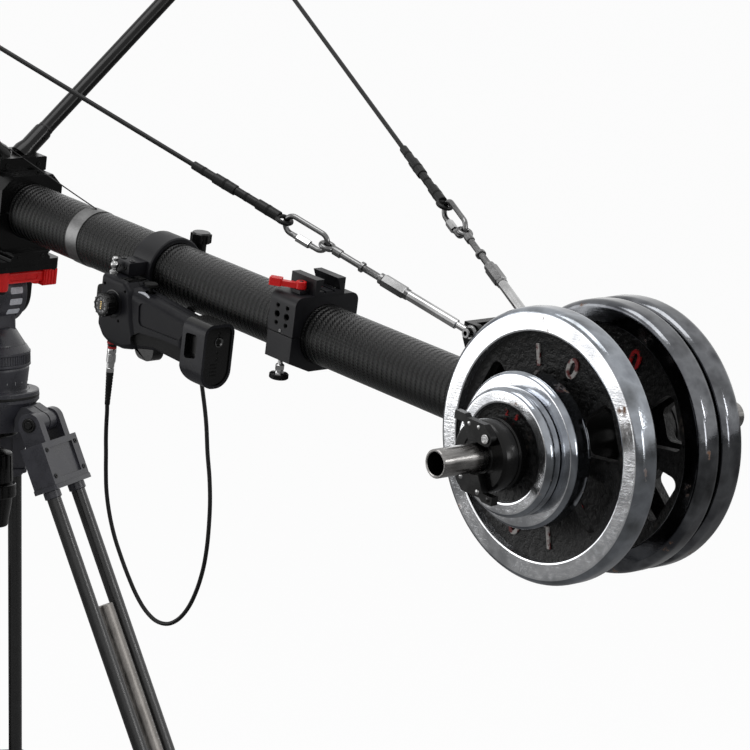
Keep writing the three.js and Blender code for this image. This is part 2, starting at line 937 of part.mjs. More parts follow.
function addCollar(side, label, face) {
  const x = layout.rearReach;
  const yAt = (along) => side * (face + along);
  const between = (a, b) => [Math.min(yAt(a), yAt(b)), Math.max(yAt(a), yAt(b))];
  const ring = turned(
    [
      [bar.radius + discBoreClearance, 0],
      [collar.radius, 0],
      [collar.radius, collar.depth - collar.pinRadius],
      [collar.radius - collar.pinRadius, collar.depth],
      [bar.radius + discBoreClearance, collar.depth],
    ],
    vec(x, yAt(0), axisZ),
    vec(x, yAt(collar.depth), axisZ),
    sides.round,
  );
  const camStart = collar.depth + collar.camGap;
  const camEnd = camStart + collar.camDepth;
  const pinAt = (sign, along) => vec(x + sign * collar.pinX, yAt(along), axisZ + sign * collar.pinZ);
  const post = rod(
    pinAt(1, collar.depth - fuse),
    pinAt(1, camEnd + collar.camGap + collar.washerDepth),
    collar.pinRadius,
    sides.bend,
  );
  const washer = rod(
    pinAt(1, camEnd + collar.camGap),
    pinAt(1, camEnd + collar.camGap + collar.washerDepth),
    collar.washerRadius,
    sides.bend,
  );
  const fixedJaw = prismY(camOutline(-1), ...between(collar.depth - fuse, camEnd));
  piece(boomFrame, `${label}_collar`, join(ring, post, washer, fixedJaw), finishes.blackPlastic);
  const bore = pinBore(
    pinAt(1, camStart - overrun),
    pinAt(1, camEnd + overrun),
    collar.pinRadius,
    sides.bend,
  );
  const cam = cut(prismY(camOutline(1), ...between(camStart, camEnd)), bore);
  piece(boomFrame, `${label}_collar_cam`, cam, finishes.greyMetal);
}

// Closed wire link: two straight runs and two half circles about a centre, along one direction.
function linkSolid(centre, along, across) {
  const path = [];
  [1, -1].forEach((end) => {
    for (let i = 0; i <= sides.arc; i += 1) {
      const angle = (Math.PI * i) / sides.arc;
      const forward = end * (stay.linkHalf + stay.linkBend * Math.sin(angle));
      const sideways = end * stay.linkBend * Math.cos(angle);
      path.push(centre.clone().addScaledVector(along, forward).addScaledVector(across, sideways));
    }
  });
  const normal = along.clone().cross(across).normalize();
  const positions = [];
  const index = [];
  path.forEach((point, i) => {
    const next = path[(i + 1) % path.length];
    const last = path[(i + path.length - 1) % path.length];
    const heading = next.clone().sub(last).normalize();
    const out = normal.clone().cross(heading).normalize();
    for (let k = 0; k < sides.wire; k += 1) {
      const turn = (2 * Math.PI * k) / sides.wire;
      const rim = point
        .clone()
        .addScaledVector(normal, stay.linkWire * Math.cos(turn))
        .addScaledVector(out, stay.linkWire * Math.sin(turn));
      positions.push(rim.x, rim.y, rim.z);
      const here = i * sides.wire;
      const there = ((i + 1) % path.length) * sides.wire;
      const step = (k + 1) % sides.wire;
      index.push(here + k, there + k, there + step, here + k, there + step, here + step);
    }
  });
  const geometry = new THREE.BufferGeometry();
  geometry.setAttribute("position", new THREE.BufferAttribute(new Float32Array(positions), 3));
  geometry.setIndex(index);
  return solidOf(geometry);
}

// The straight line of a stay from a strut tip to an anchor, with its lateral and upright normals.
function stayLine(tip, anchor) {
  const along = anchor.clone().sub(tip).normalize();
  const across = vec(0, 1, 0).cross(along).normalize();
  const lateral = along.clone().cross(across).normalize();
  return {
    tip,
    anchor,
    along,
    across,
    lateral,
    length: tip.distanceTo(anchor),
    at: (d) => tip.clone().addScaledVector(along, d),
  };
}

const mastEyeCentre = mast.ballRadius + stay.ringRadius - fuse;
const cableLoopCentre = mastEyeCentre + 2 * stay.ringRadius - 2 * stay.ringWire - clearance;

function mastEye(line) {
  return torus(line.at(mastEyeCentre), line.lateral, stay.ringRadius, stay.ringWire);
}

// A run of plain round lengths along a stay, given as [radius, start, end] in order.
function stayRun(line, lengths) {
  const profile = [[0, lengths[0][1]]];
  lengths.forEach(([radius, start, end]) => profile.push([radius, start], [radius, end]));
  profile.push([0, lengths[lengths.length - 1][2]]);
  return turned(profile, line.tip, line.anchor, sides.small);
}

// The loop through the strut's eye at the start of a wire.
function wireLoop(line) {
  return torus(line.at(cableLoopCentre), line.across, stay.ringRadius, stay.ringWire);
}

function endEye(line, radius, wire) {
  return torus(line.anchor, vec(0, 1, 0), radius, wire);
}

function addStays(side, label) {
  const tip = vec(layout.mastOffset, side * mast.spread, mastTipZ);
  const toSide = vec(1, side, 1);
  const rear = stayLine(tip, rearAnchor.clone().multiply(toSide));
  const front = stayLine(tip, frontAnchor.clone().multiply(toSide));
  const slope = vec(0, side * mast.spread, mast.rise - mast.footRise).normalize();
  const foot = vec(layout.mastOffset, 0, axisZ + mast.footRise).addScaledVector(slope, mast.footStart);
  const strut = join(
    rod(foot, tip, mast.strutRadius, sides.mid),
    ball(tip, mast.ballRadius),
    mastEye(rear),
    mastEye(front),
  );
  piece(boomFrame, `mast_strut_${label}`, strut, finishes.blackMetal);

  const sleeveStart = rear.length * stay.sleeveStartShare;
  const sleeveEnd = rear.length * stay.sleeveEndShare;
  const couplerStart = rear.length * stay.couplerStartShare;
  const ferruleStart = cableLoopCentre + stay.ringRadius - fuse;
  const ferruleEnd = ferruleStart + stay.ferruleLength;
  const stepLength = (sleeveEnd - sleeveStart) / stay.sleeveSteps;
  const sleeves = Array.from({ length: stay.sleeveSteps }, (unused, i) => {
    const radius = stay.sleeveRadius - stay.sleeveStep * ((i + 1) % 2);
    const from = sleeveStart + i * stepLength;
    return [radius, from, from + stepLength];
  });
  const wireRun = stayRun(rear, [
    [stay.ferruleRadius, ferruleStart, ferruleEnd],
    [stay.wire, ferruleEnd, sleeveStart],
    ...sleeves,
  ]);
  const loopCentre = sleeveEnd + stay.ringRadius - fuse;
  const endLoop = torus(rear.at(loopCentre), rear.across, stay.ringRadius, stay.ringWire);
  piece(boomFrame, `rear_stay_wire_${label}`, join(wireRun, wireLoop(rear), endLoop), finishes.wire);

  const reachHalf = stay.linkHalf + stay.linkBend;
  const linkCentre = loopCentre + stay.ringRadius + reachHalf - stay.ringWire - stay.linkWire - clearance;
  piece(
    boomFrame,
    `quick_link_${label}`,
    linkSolid(rear.at(linkCentre), rear.along, rear.across),
    finishes.steel,
  );

  const eyeCentre = linkCentre + reachHalf + stay.eyeRadius - stay.linkWire - stay.eyeWire - clearance;
  const couplerEnd = couplerStart + stay.couplerLength;
  const rodRun = stayRun(rear, [
    [stay.rodRadius, eyeCentre + stay.eyeRadius - fuse, couplerStart],
    [stay.couplerRadius, couplerStart, couplerEnd],
    [stay.thickRadius, couplerEnd, rear.length - stay.neckLength],
    [stay.rodRadius, rear.length - stay.neckLength, rear.length - stay.rearEyeRadius],
  ]);
  const rodEye = torus(rear.at(eyeCentre), rear.across, stay.eyeRadius, stay.eyeWire);
  piece(
    boomFrame,
    `rear_stay_rod_${label}`,
    join(rodRun, rodEye, endEye(rear, stay.rearEyeRadius, stay.rearEyeWire)),
    finishes.steel,
  );

  const frontRodStart = front.length - stay.frontRodLength;
  const frontRun = stayRun(front, [
    [stay.ferruleRadius, ferruleStart, ferruleEnd],
    [stay.wire, ferruleEnd, frontRodStart - stay.couplerLength],
    [stay.couplerRadius, frontRodStart - stay.couplerLength, frontRodStart],
    [stay.thickRadius, frontRodStart, front.length - stay.frontEyeRadius],
  ]);
  piece(
    boomFrame,
    `front_stay_${label}`,
    join(frontRun, wireLoop(front), endEye(front, stay.frontEyeRadius, stay.frontEyeWire)),
    finishes.wire,
  );
}

function addCradle() {
  const railBottom = head.plateTop + clearance;
  const railTop = railBottom + cradle.railHeight;
  const rail = block(
    -cradle.railHalfLength,
    cradle.railHalfLength,
    -cradle.railHalfWidth,
    cradle.railHalfWidth,
    railBottom,
    railTop,
  );
  const bore = rod(
    vec(-cradle.halfLength - overrun, 0, axisZ),
    vec(cradle.halfLength + overrun, 0, axisZ),
    boom.radius + clearance,
    sides.wide,
  );
  const saddle = prismX(
    outline([
      [-cradle.footWidth, railTop - fuse],
      [cradle.footWidth, railTop - fuse],
      [cradle.halfWidth, railTop + cradle.footRise],
      [cradle.halfWidth, axisZ - cradle.splitHalf],
      [-cradle.halfWidth, axisZ - cradle.splitHalf],
      [-cradle.halfWidth, railTop + cradle.footRise],
    ]),
    -cradle.halfLength,
    cradle.halfLength,
  );
  piece(boomFrame, "cradle_lower", cut(join(rail, saddle), bore), finishes.blackMetal);

  const top = axisZ + cradle.topRise;
  const cap = prismX(
    outline([
      [-cradle.halfWidth, axisZ + cradle.splitHalf],
      [cradle.halfWidth, axisZ + cradle.splitHalf],
      [cradle.halfWidth, top - cradle.chamfer],
      [cradle.halfWidth - cradle.chamfer, top],
      [cradle.chamfer - cradle.halfWidth, top],
      [-cradle.halfWidth, top - cradle.chamfer],
    ]),
    -cradle.halfLength,
    cradle.halfLength,
  );
  const boss = block(
    layout.mastOffset - mast.bossHalfX,
    layout.mastOffset + mast.bossHalfX,
    -mast.bossHalfY,
    mast.bossHalfY,
    top - fuse,
    top + mast.bossRise,
  );
  const sockets = [];
  const strutBores = [];
  [-1, 1].forEach((side) => {
    const slope = vec(0, side * mast.spread, mast.rise - mast.footRise).normalize();
    const root = vec(layout.mastOffset, 0, axisZ + mast.footRise);
    const at = (d) => root.clone().addScaledVector(slope, d);
    const socketEnd = mast.footStart + mast.socketLength;
    sockets.push(rod(at(mast.footStart), at(socketEnd), mast.socketRadius, sides.mid));
    strutBores.push(
      rod(at(mast.footStart - clearance), at(socketEnd + overrun), mast.strutRadius + clearance, sides.mid),
    );
  });
  piece(boomFrame, "cradle_upper", cut(join(cap, boss, sockets), bore, strutBores), finishes.blackMetal);
}

function addPlatform() {
  const plate = block(
    -head.plateHalfLength,
    head.plateHalfLength,
    -head.plateHalfWidth,
    head.plateHalfWidth,
    head.plateBottom,
    head.plateTop,
  );
  const cheek = (side) => {
    const y0 = Math.min(side * head.cheekInner, side * head.cheekOuter);
    const y1 = Math.max(side * head.cheekInner, side * head.cheekOuter);
    const shape = new THREE.Shape();
    shape.moveTo(head.cheekRadius, head.plateBottom + fuse);
    shape.lineTo(-head.cheekRadius, head.plateBottom + fuse);
    shape.absarc(0, 0, head.cheekRadius, Math.PI, 2 * Math.PI);
    return prismY(shape, y0, y1);
  };
  const trunnionBore = pinBore(
    vec(0, -head.plateHalfWidth - overrun, 0),
    vec(0, head.plateHalfWidth + overrun, 0),
    head.trunnionRadius,
    sides.mid,
  );
  const lever = platformLever;
  const pinEnd = head.plateBottom - lever.pinDrop;
  const pin = rod(
    vec(lever.pivotX, lever.pivotY, pinEnd),
    vec(lever.pivotX, lever.pivotY, head.plateBottom + fuse),
    lever.pinRadius,
    sides.bend,
  );
  const pinCap = rod(
    vec(lever.pivotX, lever.pivotY, pinEnd - lever.capDepth),
    vec(lever.pivotX, lever.pivotY, pinEnd),
    lever.capRadius,
    sides.bend,
  );
  const body = cut(join(plate, cheek(1), cheek(-1)), trunnionBore);
  piece(boomFrame, "tilt_platform", join(body, pin, pinCap), finishes.blackMetal);

  const top = head.plateBottom - clearance;
  const barrel = rod(
    vec(lever.pivotX, lever.pivotY, pinEnd + clearance),
    vec(lever.pivotX, lever.pivotY, top),
    lever.barrelRadius,
    sides.mid,
  );
  const arm = block(
    lever.pivotX - lever.armWidth / 2,
    lever.pivotX + lever.armWidth / 2,
    lever.pivotY,
    lever.pivotY + lever.gripStart + fuse,
    top - lever.armTop - lever.armDrop,
    top - lever.armTop,
  );
  const gripEnd = block(
    lever.pivotX - lever.gripWidth / 2,
    lever.pivotX + lever.gripWidth / 2,
    lever.pivotY + lever.gripStart,
    lever.pivotY + lever.reach,
    top - lever.gripDrop,
    top,
  );
  const bore = pinBore(
    vec(lever.pivotX, lever.pivotY, pinEnd - overrun),
    vec(lever.pivotX, lever.pivotY, top + overrun),
    lever.pinRadius,
    sides.bend,
  );
  piece(boomFrame, "platform_lever", cut(join(barrel, arm, gripEnd), bore), finishes.red);
}

// Half profile of the bowl, from its bottom hole to its lip, for a given ball radius.
function bowlArc(radius) {
  const holeAngle = Math.asin(crown.holeRadius / crown.bowlRadius);
  return Array.from({ length: crown.arcSteps + 1 }, (unused, i) => {
    const angle = holeAngle + ((Math.PI / 2 - holeAngle) * i) / crown.arcSteps;
    return [radius * Math.sin(angle), -radius * Math.cos(angle)];
  });
}

function addHead() {
  const up = vec(0, 0, fuse);
  const origin = vec(0, 0, 0);
  const ballRadius = crown.bowlRadius - head.ballClearance;
  const studTop = -Math.sqrt(ballRadius ** 2 - head.studRadius ** 2);
  const base = turned(
    [
      [0, -ballRadius - head.studLength],
      [head.studRadius, -ballRadius - head.studLength],
      [head.studRadius, studTop],
      ...bowlArc(ballRadius),
      [head.neckRadius, head.ballClearance],
      [head.neckRadius, head.neckRise],
      [head.baseRadius, head.baseRise - head.neckRise / 2],
      [head.baseRadius, head.baseRise],
      [0, head.baseRise],
    ],
    origin,
    up,
    sides.head,
  );
  piece(tripodFrame, "head_base", base, finishes.blackMetal);

  const panBase = turned(
    [
      [0, head.baseRise + clearance],
      [head.bandRadius, head.baseRise + clearance],
      [head.bandRadius, head.bandRise],
      [head.coneRadius, head.coneRise],
      [head.topRadius, head.topRise],
      [0, head.topRise],
    ],
    origin,
    up,
    sides.head,
  );
  const axis = layout.tiltAxisRise;
  const pedestal = block(
    -head.pedestalX,
    head.pedestalX,
    -head.pedestalY,
    head.pedestalY,
    head.topRise - fuse,
    axis,
  );
  const drum = rod(vec(0, -head.drumHalf, axis), vec(0, head.drumHalf, axis), head.drumRadius, sides.head);
  const trunnion = rod(
    vec(0, -head.trunnionHalf, axis),
    vec(0, head.trunnionHalf, axis),
    head.trunnionRadius,
    sides.mid,
  );
  piece(tripodFrame, "pan_body", join(panBase, pedestal, drum, trunnion), finishes.blackMetal);

  const under = -crown.cupDepth - clearance;
  const stemEnd = under - knob.dishDepth - knob.stemRadius / 2 - knob.stemLength;
  const gripEnd = stemEnd - knob.gripLength;
  const collarEnd = gripEnd - knob.collarLength;
  const handle = turned(
    [
      [0, under],
      [knob.dishRadius, under],
      [knob.dishRadius, under - knob.dishDepth],
      [knob.stemRadius, under - knob.dishDepth - knob.stemRadius / 2],
      [knob.stemRadius, stemEnd],
      [knob.gripRadius, stemEnd - knob.dishDepth],
      [knob.gripRadius, gripEnd],
      [knob.collarRadius, gripEnd],
      [knob.collarRadius, collarEnd],
      [knob.tipStart, collarEnd],
      [knob.tipEnd, collarEnd - knob.tipLength],
      [0, collarEnd - knob.tipLength],
    ],
    origin,
    up,
    sides.round,
  );
  const bore = pinBore(
    vec(0, 0, under + overrun),
    vec(0, 0, under - knob.boreDepth),
    head.studRadius,
    sides.head,
  );
  piece(tripodFrame, "tie_down_knob", cut(handle, bore), finishes.blackPlastic);
}

function legAngles() {
  const step = (2 * Math.PI) / layout.legCount;
  return Array.from({ length: layout.legCount }, (unused, i) => layout.legAzimuth + i * step);
}

function addCrown() {
  const cup = turned(
    [
      ...bowlArc(crown.bowlRadius),
      [crown.lipRadius, 0],
      [crown.lipRadius, -crown.lipDepth],
      [crown.wallRadius, -crown.wallStart],
      [crown.footRadius, -crown.cupDepth],
      [crown.holeRadius, -crown.cupDepth],
    ],
    vec(0, 0, 0),
    vec(0, 0, fuse),
    sides.head,
  );
  const ears = legAngles().map((angle) => {
    const shape = new THREE.Shape();
    shape.moveTo(crown.earRoot, -crown.earBottom);
    shape.lineTo(crown.hingeRadius, -crown.hingeDrop - crown.earBarrel);
    shape.absarc(crown.hingeRadius, -crown.hingeDrop, crown.earBarrel, -Math.PI / 2, Math.PI / 2);
    shape.lineTo(crown.earRoot, -crown.earTop);
    const pin = rod(
      vec(crown.hingeRadius, -crown.pinHalf, -crown.hingeDrop),
      vec(crown.hingeRadius, crown.pinHalf, -crown.hingeDrop),
      crown.pinRadius,
      sides.bend,
    );
    const ear = join(prismY(shape, -crown.earHalf, crown.earHalf), pin);
    return moved(ear, new THREE.Matrix4().makeRotationZ(angle));
  });
  piece(tripodFrame, "crown", join(cup, ears), finishes.blackMetal);
}

function legUpperSolid() {
  const cheeks = [-1, 1].map((side) => {
    const inner = side * (crown.earHalf + clearance);
    const outer = side * leg.cheekOuter;
    const [y0, y1] = [Math.min(inner, outer), Math.max(inner, outer)];
    const shape = new THREE.Shape();
    shape.moveTo(-leg.cheekRadius, -leg.blockTop - fuse);
    shape.lineTo(leg.cheekRadius, -leg.blockTop - fuse);
    shape.absarc(0, 0, leg.cheekRadius, 0, Math.PI);
    return prismY(shape, y0, y1);
  });
  const casting = block(
    -leg.blockIn,
    leg.blockOut,
    -leg.blockHalf,
    leg.blockHalf,
    -leg.blockBottom,
    -leg.blockTop,
  );
  const lip = block(
    -leg.blockIn - leg.lip,
    leg.blockOut + leg.lip,
    -leg.blockHalf - leg.lip,
    leg.blockHalf + leg.lip,
    -leg.blockBottom - leg.lipDepth,
    -leg.blockBottom,
  );
  const tubes = [-1, 1].map((side) => rod(
    vec(0, side * leg.tubeSpread, -leg.blockBottom - leg.lipDepth + fuse),
    vec(0, side * leg.tubeSpread, -leg.clampTop - fuse),
    leg.tubeRadius,
    sides.mid,
  ));
  const clampBlock = block(
    -leg.blockIn,
    leg.clampOut,
    -leg.blockHalf,
    leg.blockHalf,
    -clampBottom,
    -leg.clampTop,
  );
  const pivotX = leg.clampOut + lock.barrelRadius + clearance;
  const lockEars = [-1, 1].map((side) => {
    const inner = side * (lock.barrelHalf + clearance);
    const outer = side * lock.earOuter;
    return block(
      leg.clampOut - fuse,
      pivotX + lock.pinRadius + fuse,
      Math.min(inner, outer),
      Math.max(inner, outer),
      -lockDrop - lock.earHeight,
      -lockDrop + lock.earHeight,
    );
  });
  const lockPin = rod(
    vec(pivotX, -lock.earOuter, -lockDrop),
    vec(pivotX, lock.earOuter, -lockDrop),
    lock.pinRadius,
    sides.small,
  );
  const hingeBore = pinBore(vec(0, -leg.blockHalf, 0), vec(0, leg.blockHalf, 0), crown.pinRadius, sides.bend);
  const tubeBore = rod(
    vec(0, 0, -clampBottom - overrun),
    vec(0, 0, -leg.clampTop + overrun),
    leg.lowerRadius + clearance,
    sides.mid,
  );
  return join(cut(join(cheeks, casting, lip, tubes, clampBlock), hingeBore, tubeBore), lockEars, lockPin);
}

function legLowerSolid() {
  const hingeHeight = layout.crownHeight - crown.hingeDrop;
  const footCentre = (hingeHeight - leg.footRise) / Math.cos(layout.legSplay);
  const footArc = Array.from({ length: sides.arc + 1 }, (unused, i) => {
    const angle = (Math.PI / 2) * (1 - i / sides.arc);
    return [leg.footRadius * Math.sin(angle), -footCentre - leg.footRadius * Math.cos(angle)];
  });
  const tube = turned(
    [
      [0, -leg.lowerTop],
      [leg.lowerRadius, -leg.lowerTop],
      [leg.lowerRadius, -footCentre + leg.footRadius + leg.footNeck],
      ...footArc,
    ],
    vec(0, 0, 0),
    vec(0, 0, fuse),
    sides.mid,
  );
  const reach = leg.footRadius * leg.floorBlockFactor;
  const intoLeg = new THREE.Matrix4().makeRotationY(layout.legSplay);
  const footReach = footCentre * Math.sin(layout.legSplay);
  const floorBlock = block(
    footReach - reach,
    footReach + reach,
    -reach,
    reach,
    -hingeHeight - reach,
    -hingeHeight,
  );
  return cut(tube, moved(floorBlock, intoLeg));
}

function legLockSolid() {
  const pivotX = leg.clampOut + lock.barrelRadius + clearance;
  const barrel = rod(
    vec(pivotX, -lock.barrelHalf, -lockDrop),
    vec(pivotX, lock.barrelHalf, -lockDrop),
    lock.barrelRadius,
    sides.small,
  );
  const arm = block(
    leg.clampOut + lock.standOff,
    leg.clampOut + lock.standOff + lock.thickness,
    -lock.halfWidth,
    lock.halfWidth,
    -lockDrop,
    -lockDrop + lock.length,
  );
  const bore = pinBore(
    vec(pivotX, -lock.earOuter, -lockDrop),
    vec(pivotX, lock.earOuter, -lockDrop),
    lock.pinRadius,
    sides.small,
  );
  return cut(join(barrel, arm), bore);
}

function addLegs() {
  const upper = legUpperSolid();
  const lower = legLowerSolid();
  const lever = legLockSolid();
  legAngles().forEach((angle, i) => {
    const around = new THREE.Group();
    around.rotation.z = angle;
    const splayed = new THREE.Group();
    splayed.position.set(crown.hingeRadius, 0, -crown.hingeDrop);
    splayed.rotation.y = -layout.legSplay;
    around.add(splayed);
    tripodFrame.add(around);
    piece(splayed, `leg_${i + 1}_upper`, upper, finishes.blackMetal);
    piece(splayed, `leg_${i + 1}_lower`, lower, finishes.aluminium);
    piece(splayed, `leg_${i + 1}_lock`, lever, finishes.blackPlastic);
  });
}

function addGripClamp() {
  const ring = turned(
    [
      [boom.radius + clearance, ringFront],
      [ringClamp.radius, ringFront],
      [ringClamp.radius, ringBack],
      [boom.radius + clearance, ringBack],
    ],
    vec(0, 0, axisZ),
    vec(fuse, 0, axisZ),
    sides.wide,
  );
  const lugStart = boom.radius + clearance + fuse;
  const lugs = block(
    ringFront,
    ringBack,
    lugStart,
    ringClamp.lugOuter,
    axisZ + ringClamp.lugBottom,
    axisZ + ringClamp.lugTop,
  );
  const arm = block(
    ringFront + ringClamp.armInset,
    ringFront + ringClamp.armInset + ringClamp.armLength,
    ringClamp.armNear,
    -lugStart,
    axisZ + grip.headTop + clearance,
    axisZ + ringClamp.armTop,
  );
  const tubeSpace = rod(
    vec(ringFront - overrun, 0, axisZ),
    vec(ringBack + overrun, 0, axisZ),
    boom.radius + clearance,
    sides.wide,
  );
  const slit = block(
    ringFront - overrun,
    ringBack + overrun,
    0,
    ringClamp.lugOuter + overrun,
    axisZ + ringClamp.slitRise - ringClamp.slitHalf,
    axisZ + ringClamp.slitRise + ringClamp.slitHalf,
  );
  const screwX = (ringFront + ringBack) / 2;
  const bore = rod(
    vec(screwX, ringClamp.screwY, axisZ + ringClamp.lugBottom - overrun),
    vec(screwX, ringClamp.screwY, axisZ + ringClamp.lugTop + overrun),
    ringClamp.screwRadius + clearance,
    sides.small,
  );
  piece(boomFrame, "grip_clamp", cut(join(ring, lugs, arm), tubeSpace, slit, bore), finishes.blackMetal);
  const base = axisZ + ringClamp.lugTop + clearance;
  const knobStart = base + thumbKnob.neckLength;
  const screw = turned(
    [
      [0, axisZ + ringClamp.lugBottom - base],
      [ringClamp.screwRadius, axisZ + ringClamp.lugBottom - base],
      [ringClamp.screwRadius, 0],
      [thumbKnob.neckRadius, 0],
      [thumbKnob.neckRadius, knobStart - base],
      [thumbKnob.radius, knobStart - base],
      [thumbKnob.radius, knobStart - base + thumbKnob.depth - thumbKnob.chamfer],
      [thumbKnob.radius - thumbKnob.chamfer, knobStart - base + thumbKnob.depth],
      [0, knobStart - base + thumbKnob.depth],
    ],
    vec(screwX, ringClamp.screwY, base),
    vec(screwX, ringClamp.screwY, base + fuse),
    sides.mid,
  );
  piece(boomFrame, "grip_clamp_knob", screw, finishes.blackPlastic);
}

function addGrip() {
  const profile = outline([
    [grip.front, grip.headTop],
    [grip.front, grip.frontBottom],
    [gripJaw, grip.jawBottom],
    [gripJaw + grip.chinLength / 3, grip.chinBottom],
    [gripChin, grip.chinBottom],
    [gripBelly, grip.bellyBottom],
    [gripRear, grip.rearBottom],
    [gripRear, grip.rearTop],
    [gripShoulder, grip.headTop - grip.shoulderDrop],
    [gripHeadEnd, grip.headTop],
  ]);
  const rounded = {
    depth: grip.farY - grip.nearY - 2 * grip.round,
    bevelEnabled: true,
    bevelThickness: grip.round,
    bevelSize: grip.round,
    bevelOffset: -grip.round,
    bevelSegments: grip.roundSteps,
  };
  const shell = prismY(profile, grip.nearY + grip.round, grip.farY - grip.round, rounded);
  const body = moved(shell, new THREE.Matrix4().makeTranslation(0, 0, axisZ));
  const middleY = (grip.nearY + grip.farY) / 2;
  const padPocket = block(
    grip.front - overrun,
    grip.front + pad.pocket,
    pad.nearY - clearance,
    pad.farY + clearance,
    axisZ + pad.bottom - clearance,
    axisZ + pad.top + clearance,
  );
  const triggerPocket = block(
    triggerFront - clearance,
    triggerBack + clearance,
    trigger.nearY - clearance,
    trigger.farY + clearance,
    axisZ + trigger.bottom - overrun,
    axisZ + trigger.pocketTop,
  );
  const stickZ = axisZ + thumbStick.rise;
  const socket = rod(
    vec(stickReach, middleY, stickZ - thumbStick.socketDrop),
    vec(stickReach, middleY, axisZ),
    thumbStick.ballRadius + clearance,
    sides.small,
  );
  const mouth = rod(
    vec(stickReach, middleY, stickZ + thumbStick.mouthDrop),
    vec(stickReach, middleY, axisZ + overrun),
    thumbStick.mouthRadius,
    sides.small,
  );
  const axle = rod(
    vec(dialReach, grip.nearY + fuse, axisZ + dial.rise),
    vec(dialReach, grip.nearY - dial.axleLength, axisZ + dial.rise),
    dial.axleRadius,
    sides.small,
  );
  const cableSocket = rod(
    vec(plugReach, plug.y, axisZ + grip.chinBottom + grip.round),
    vec(plugReach, plug.y, axisZ + grip.chinBottom - plug.socketDepth),
    plug.socketRadius,
    sides.mid,
  );
  piece(
    boomFrame,
    "grip_body",
    join(cut(body, padPocket, triggerPocket, socket, mouth), axle, cableSocket),
    finishes.greyPlastic,
  );

  const capStart = gripRear + clearance;
  const cap = prismX(
    roundedRectangle(endCap.nearY, endCap.farY, axisZ + endCap.bottom, axisZ + endCap.top, endCap.corner),
    capStart,
    capStart + endCap.length,
  );
  const windowPocket = block(
    capStart + endCap.windowStart,
    capStart + endCap.windowEnd,
    endCap.nearY - overrun,
    endCap.nearY + endCap.windowDepth,
    axisZ + endCap.windowBottom,
    axisZ + endCap.windowTop,
  );
  piece(boomFrame, "grip_end_cap", cut(cap, windowPocket), finishes.blackPlastic);

  const padSolid = block(
    grip.front - pad.reachOut,
    grip.front - pad.reachOut + pad.length,
    pad.nearY,
    pad.farY,
    axisZ + pad.bottom,
    axisZ + pad.top,
  );
  piece(boomFrame, "grip_push_pad", padSolid, finishes.blackPlastic);

  const dialFace = grip.nearY - clearance;
  const wheel = turned(
    [
      [0, 0],
      [dial.radius - dial.groove, 0],
      [dial.radius, dial.groove],
      [dial.radius, dial.depth - dial.groove],
      [dial.radius - dial.groove, dial.depth],
      [0, dial.depth],
    ],
    vec(dialReach, dialFace, axisZ + dial.rise),
    vec(dialReach, dialFace - fuse, axisZ + dial.rise),
    sides.round,
  );
  const wheelBore = pinBore(
    vec(dialReach, grip.nearY + overrun, axisZ + dial.rise),
    vec(dialReach, grip.nearY - dial.axleLength - clearance, axisZ + dial.rise),
    dial.axleRadius,
    sides.small,
  );
  piece(boomFrame, "grip_dial", cut(wheel, wheelBore), finishes.blackPlastic);

  const stickAt = (rise) => vec(stickReach, middleY, stickZ + rise);
  const stick = join(
    ball(stickAt(0), thumbStick.ballRadius, sides.small),
    rod(stickAt(0), stickAt(thumbStick.capStart + fuse), thumbStick.stemRadius, sides.small),
    cone(
      stickAt(thumbStick.capStart),
      stickAt(thumbStick.capEnd),
      thumbStick.capRadius,
      thumbStick.capRadius - fuse,
      sides.mid,
    ),
  );
  piece(boomFrame, "grip_thumb_stick", stick, finishes.blackPlastic);

  const triggerShape = new THREE.Shape();
  triggerShape.moveTo(triggerFront, axisZ + trigger.top);
  triggerShape.lineTo(triggerFront, axisZ + trigger.bottom + trigger.round);
  triggerShape.absarc(
    triggerFront + trigger.round,
    axisZ + trigger.bottom + trigger.round,
    trigger.round,
    Math.PI,
    Math.PI * 1.5,
  );
  triggerShape.absarc(
    triggerBack - trigger.round,
    axisZ + trigger.bottom + trigger.round,
    trigger.round,
    -Math.PI / 2,
    0,
  );
  triggerShape.lineTo(triggerBack, axisZ + trigger.top);
  piece(boomFrame, "grip_trigger", prismY(triggerShape, trigger.nearY, trigger.farY), finishes.blackPlastic);

  const plugTop = axisZ + grip.chinBottom - plug.socketDepth - clearance;
  const from = vec(plugReach, plug.y, plugTop);
  const plugLine = cableRoute[0].clone().sub(from);
  const plugLength = plugLine.length();
  const plugAlong = plugLine.normalize();
  const drawnLength = plug.bodyLength + plug.neckLength + plug.tipLength;
  const fitted = (along) => (plugLength * along) / drawnLength;
  const plugSolid = turned(
    [
      [0, 0],
      [plug.bodyRadius, 0],
      [plug.bodyRadius, fitted(plug.bodyLength)],
      [plug.neckRadius, fitted(plug.bodyLength)],
      [plug.neckRadius, fitted(plug.bodyLength + plug.neckLength)],
      [plug.tipRadius, plugLength - clearance],
      [0, plugLength - clearance],
    ],
    from,
    from.clone().add(plugAlong),
    sides.small,
  );
  piece(boomFrame, "control_plug", plugSolid, finishes.steel);
}

function addCable() {
  const path = new THREE.CatmullRomCurve3(cableRoute, false, "centripetal");
  const section = new THREE.Shape();
  section.absarc(0, 0, cable.radius, 0, 2 * Math.PI);
  const tube = new THREE.ExtrudeGeometry(
    section,
    { steps: cable.steps, extrudePath: path, curveSegments: sides.cord / 2 },
  );
  piece(boomFrame, "control_cable", solidOf(tube), finishes.wire);
}

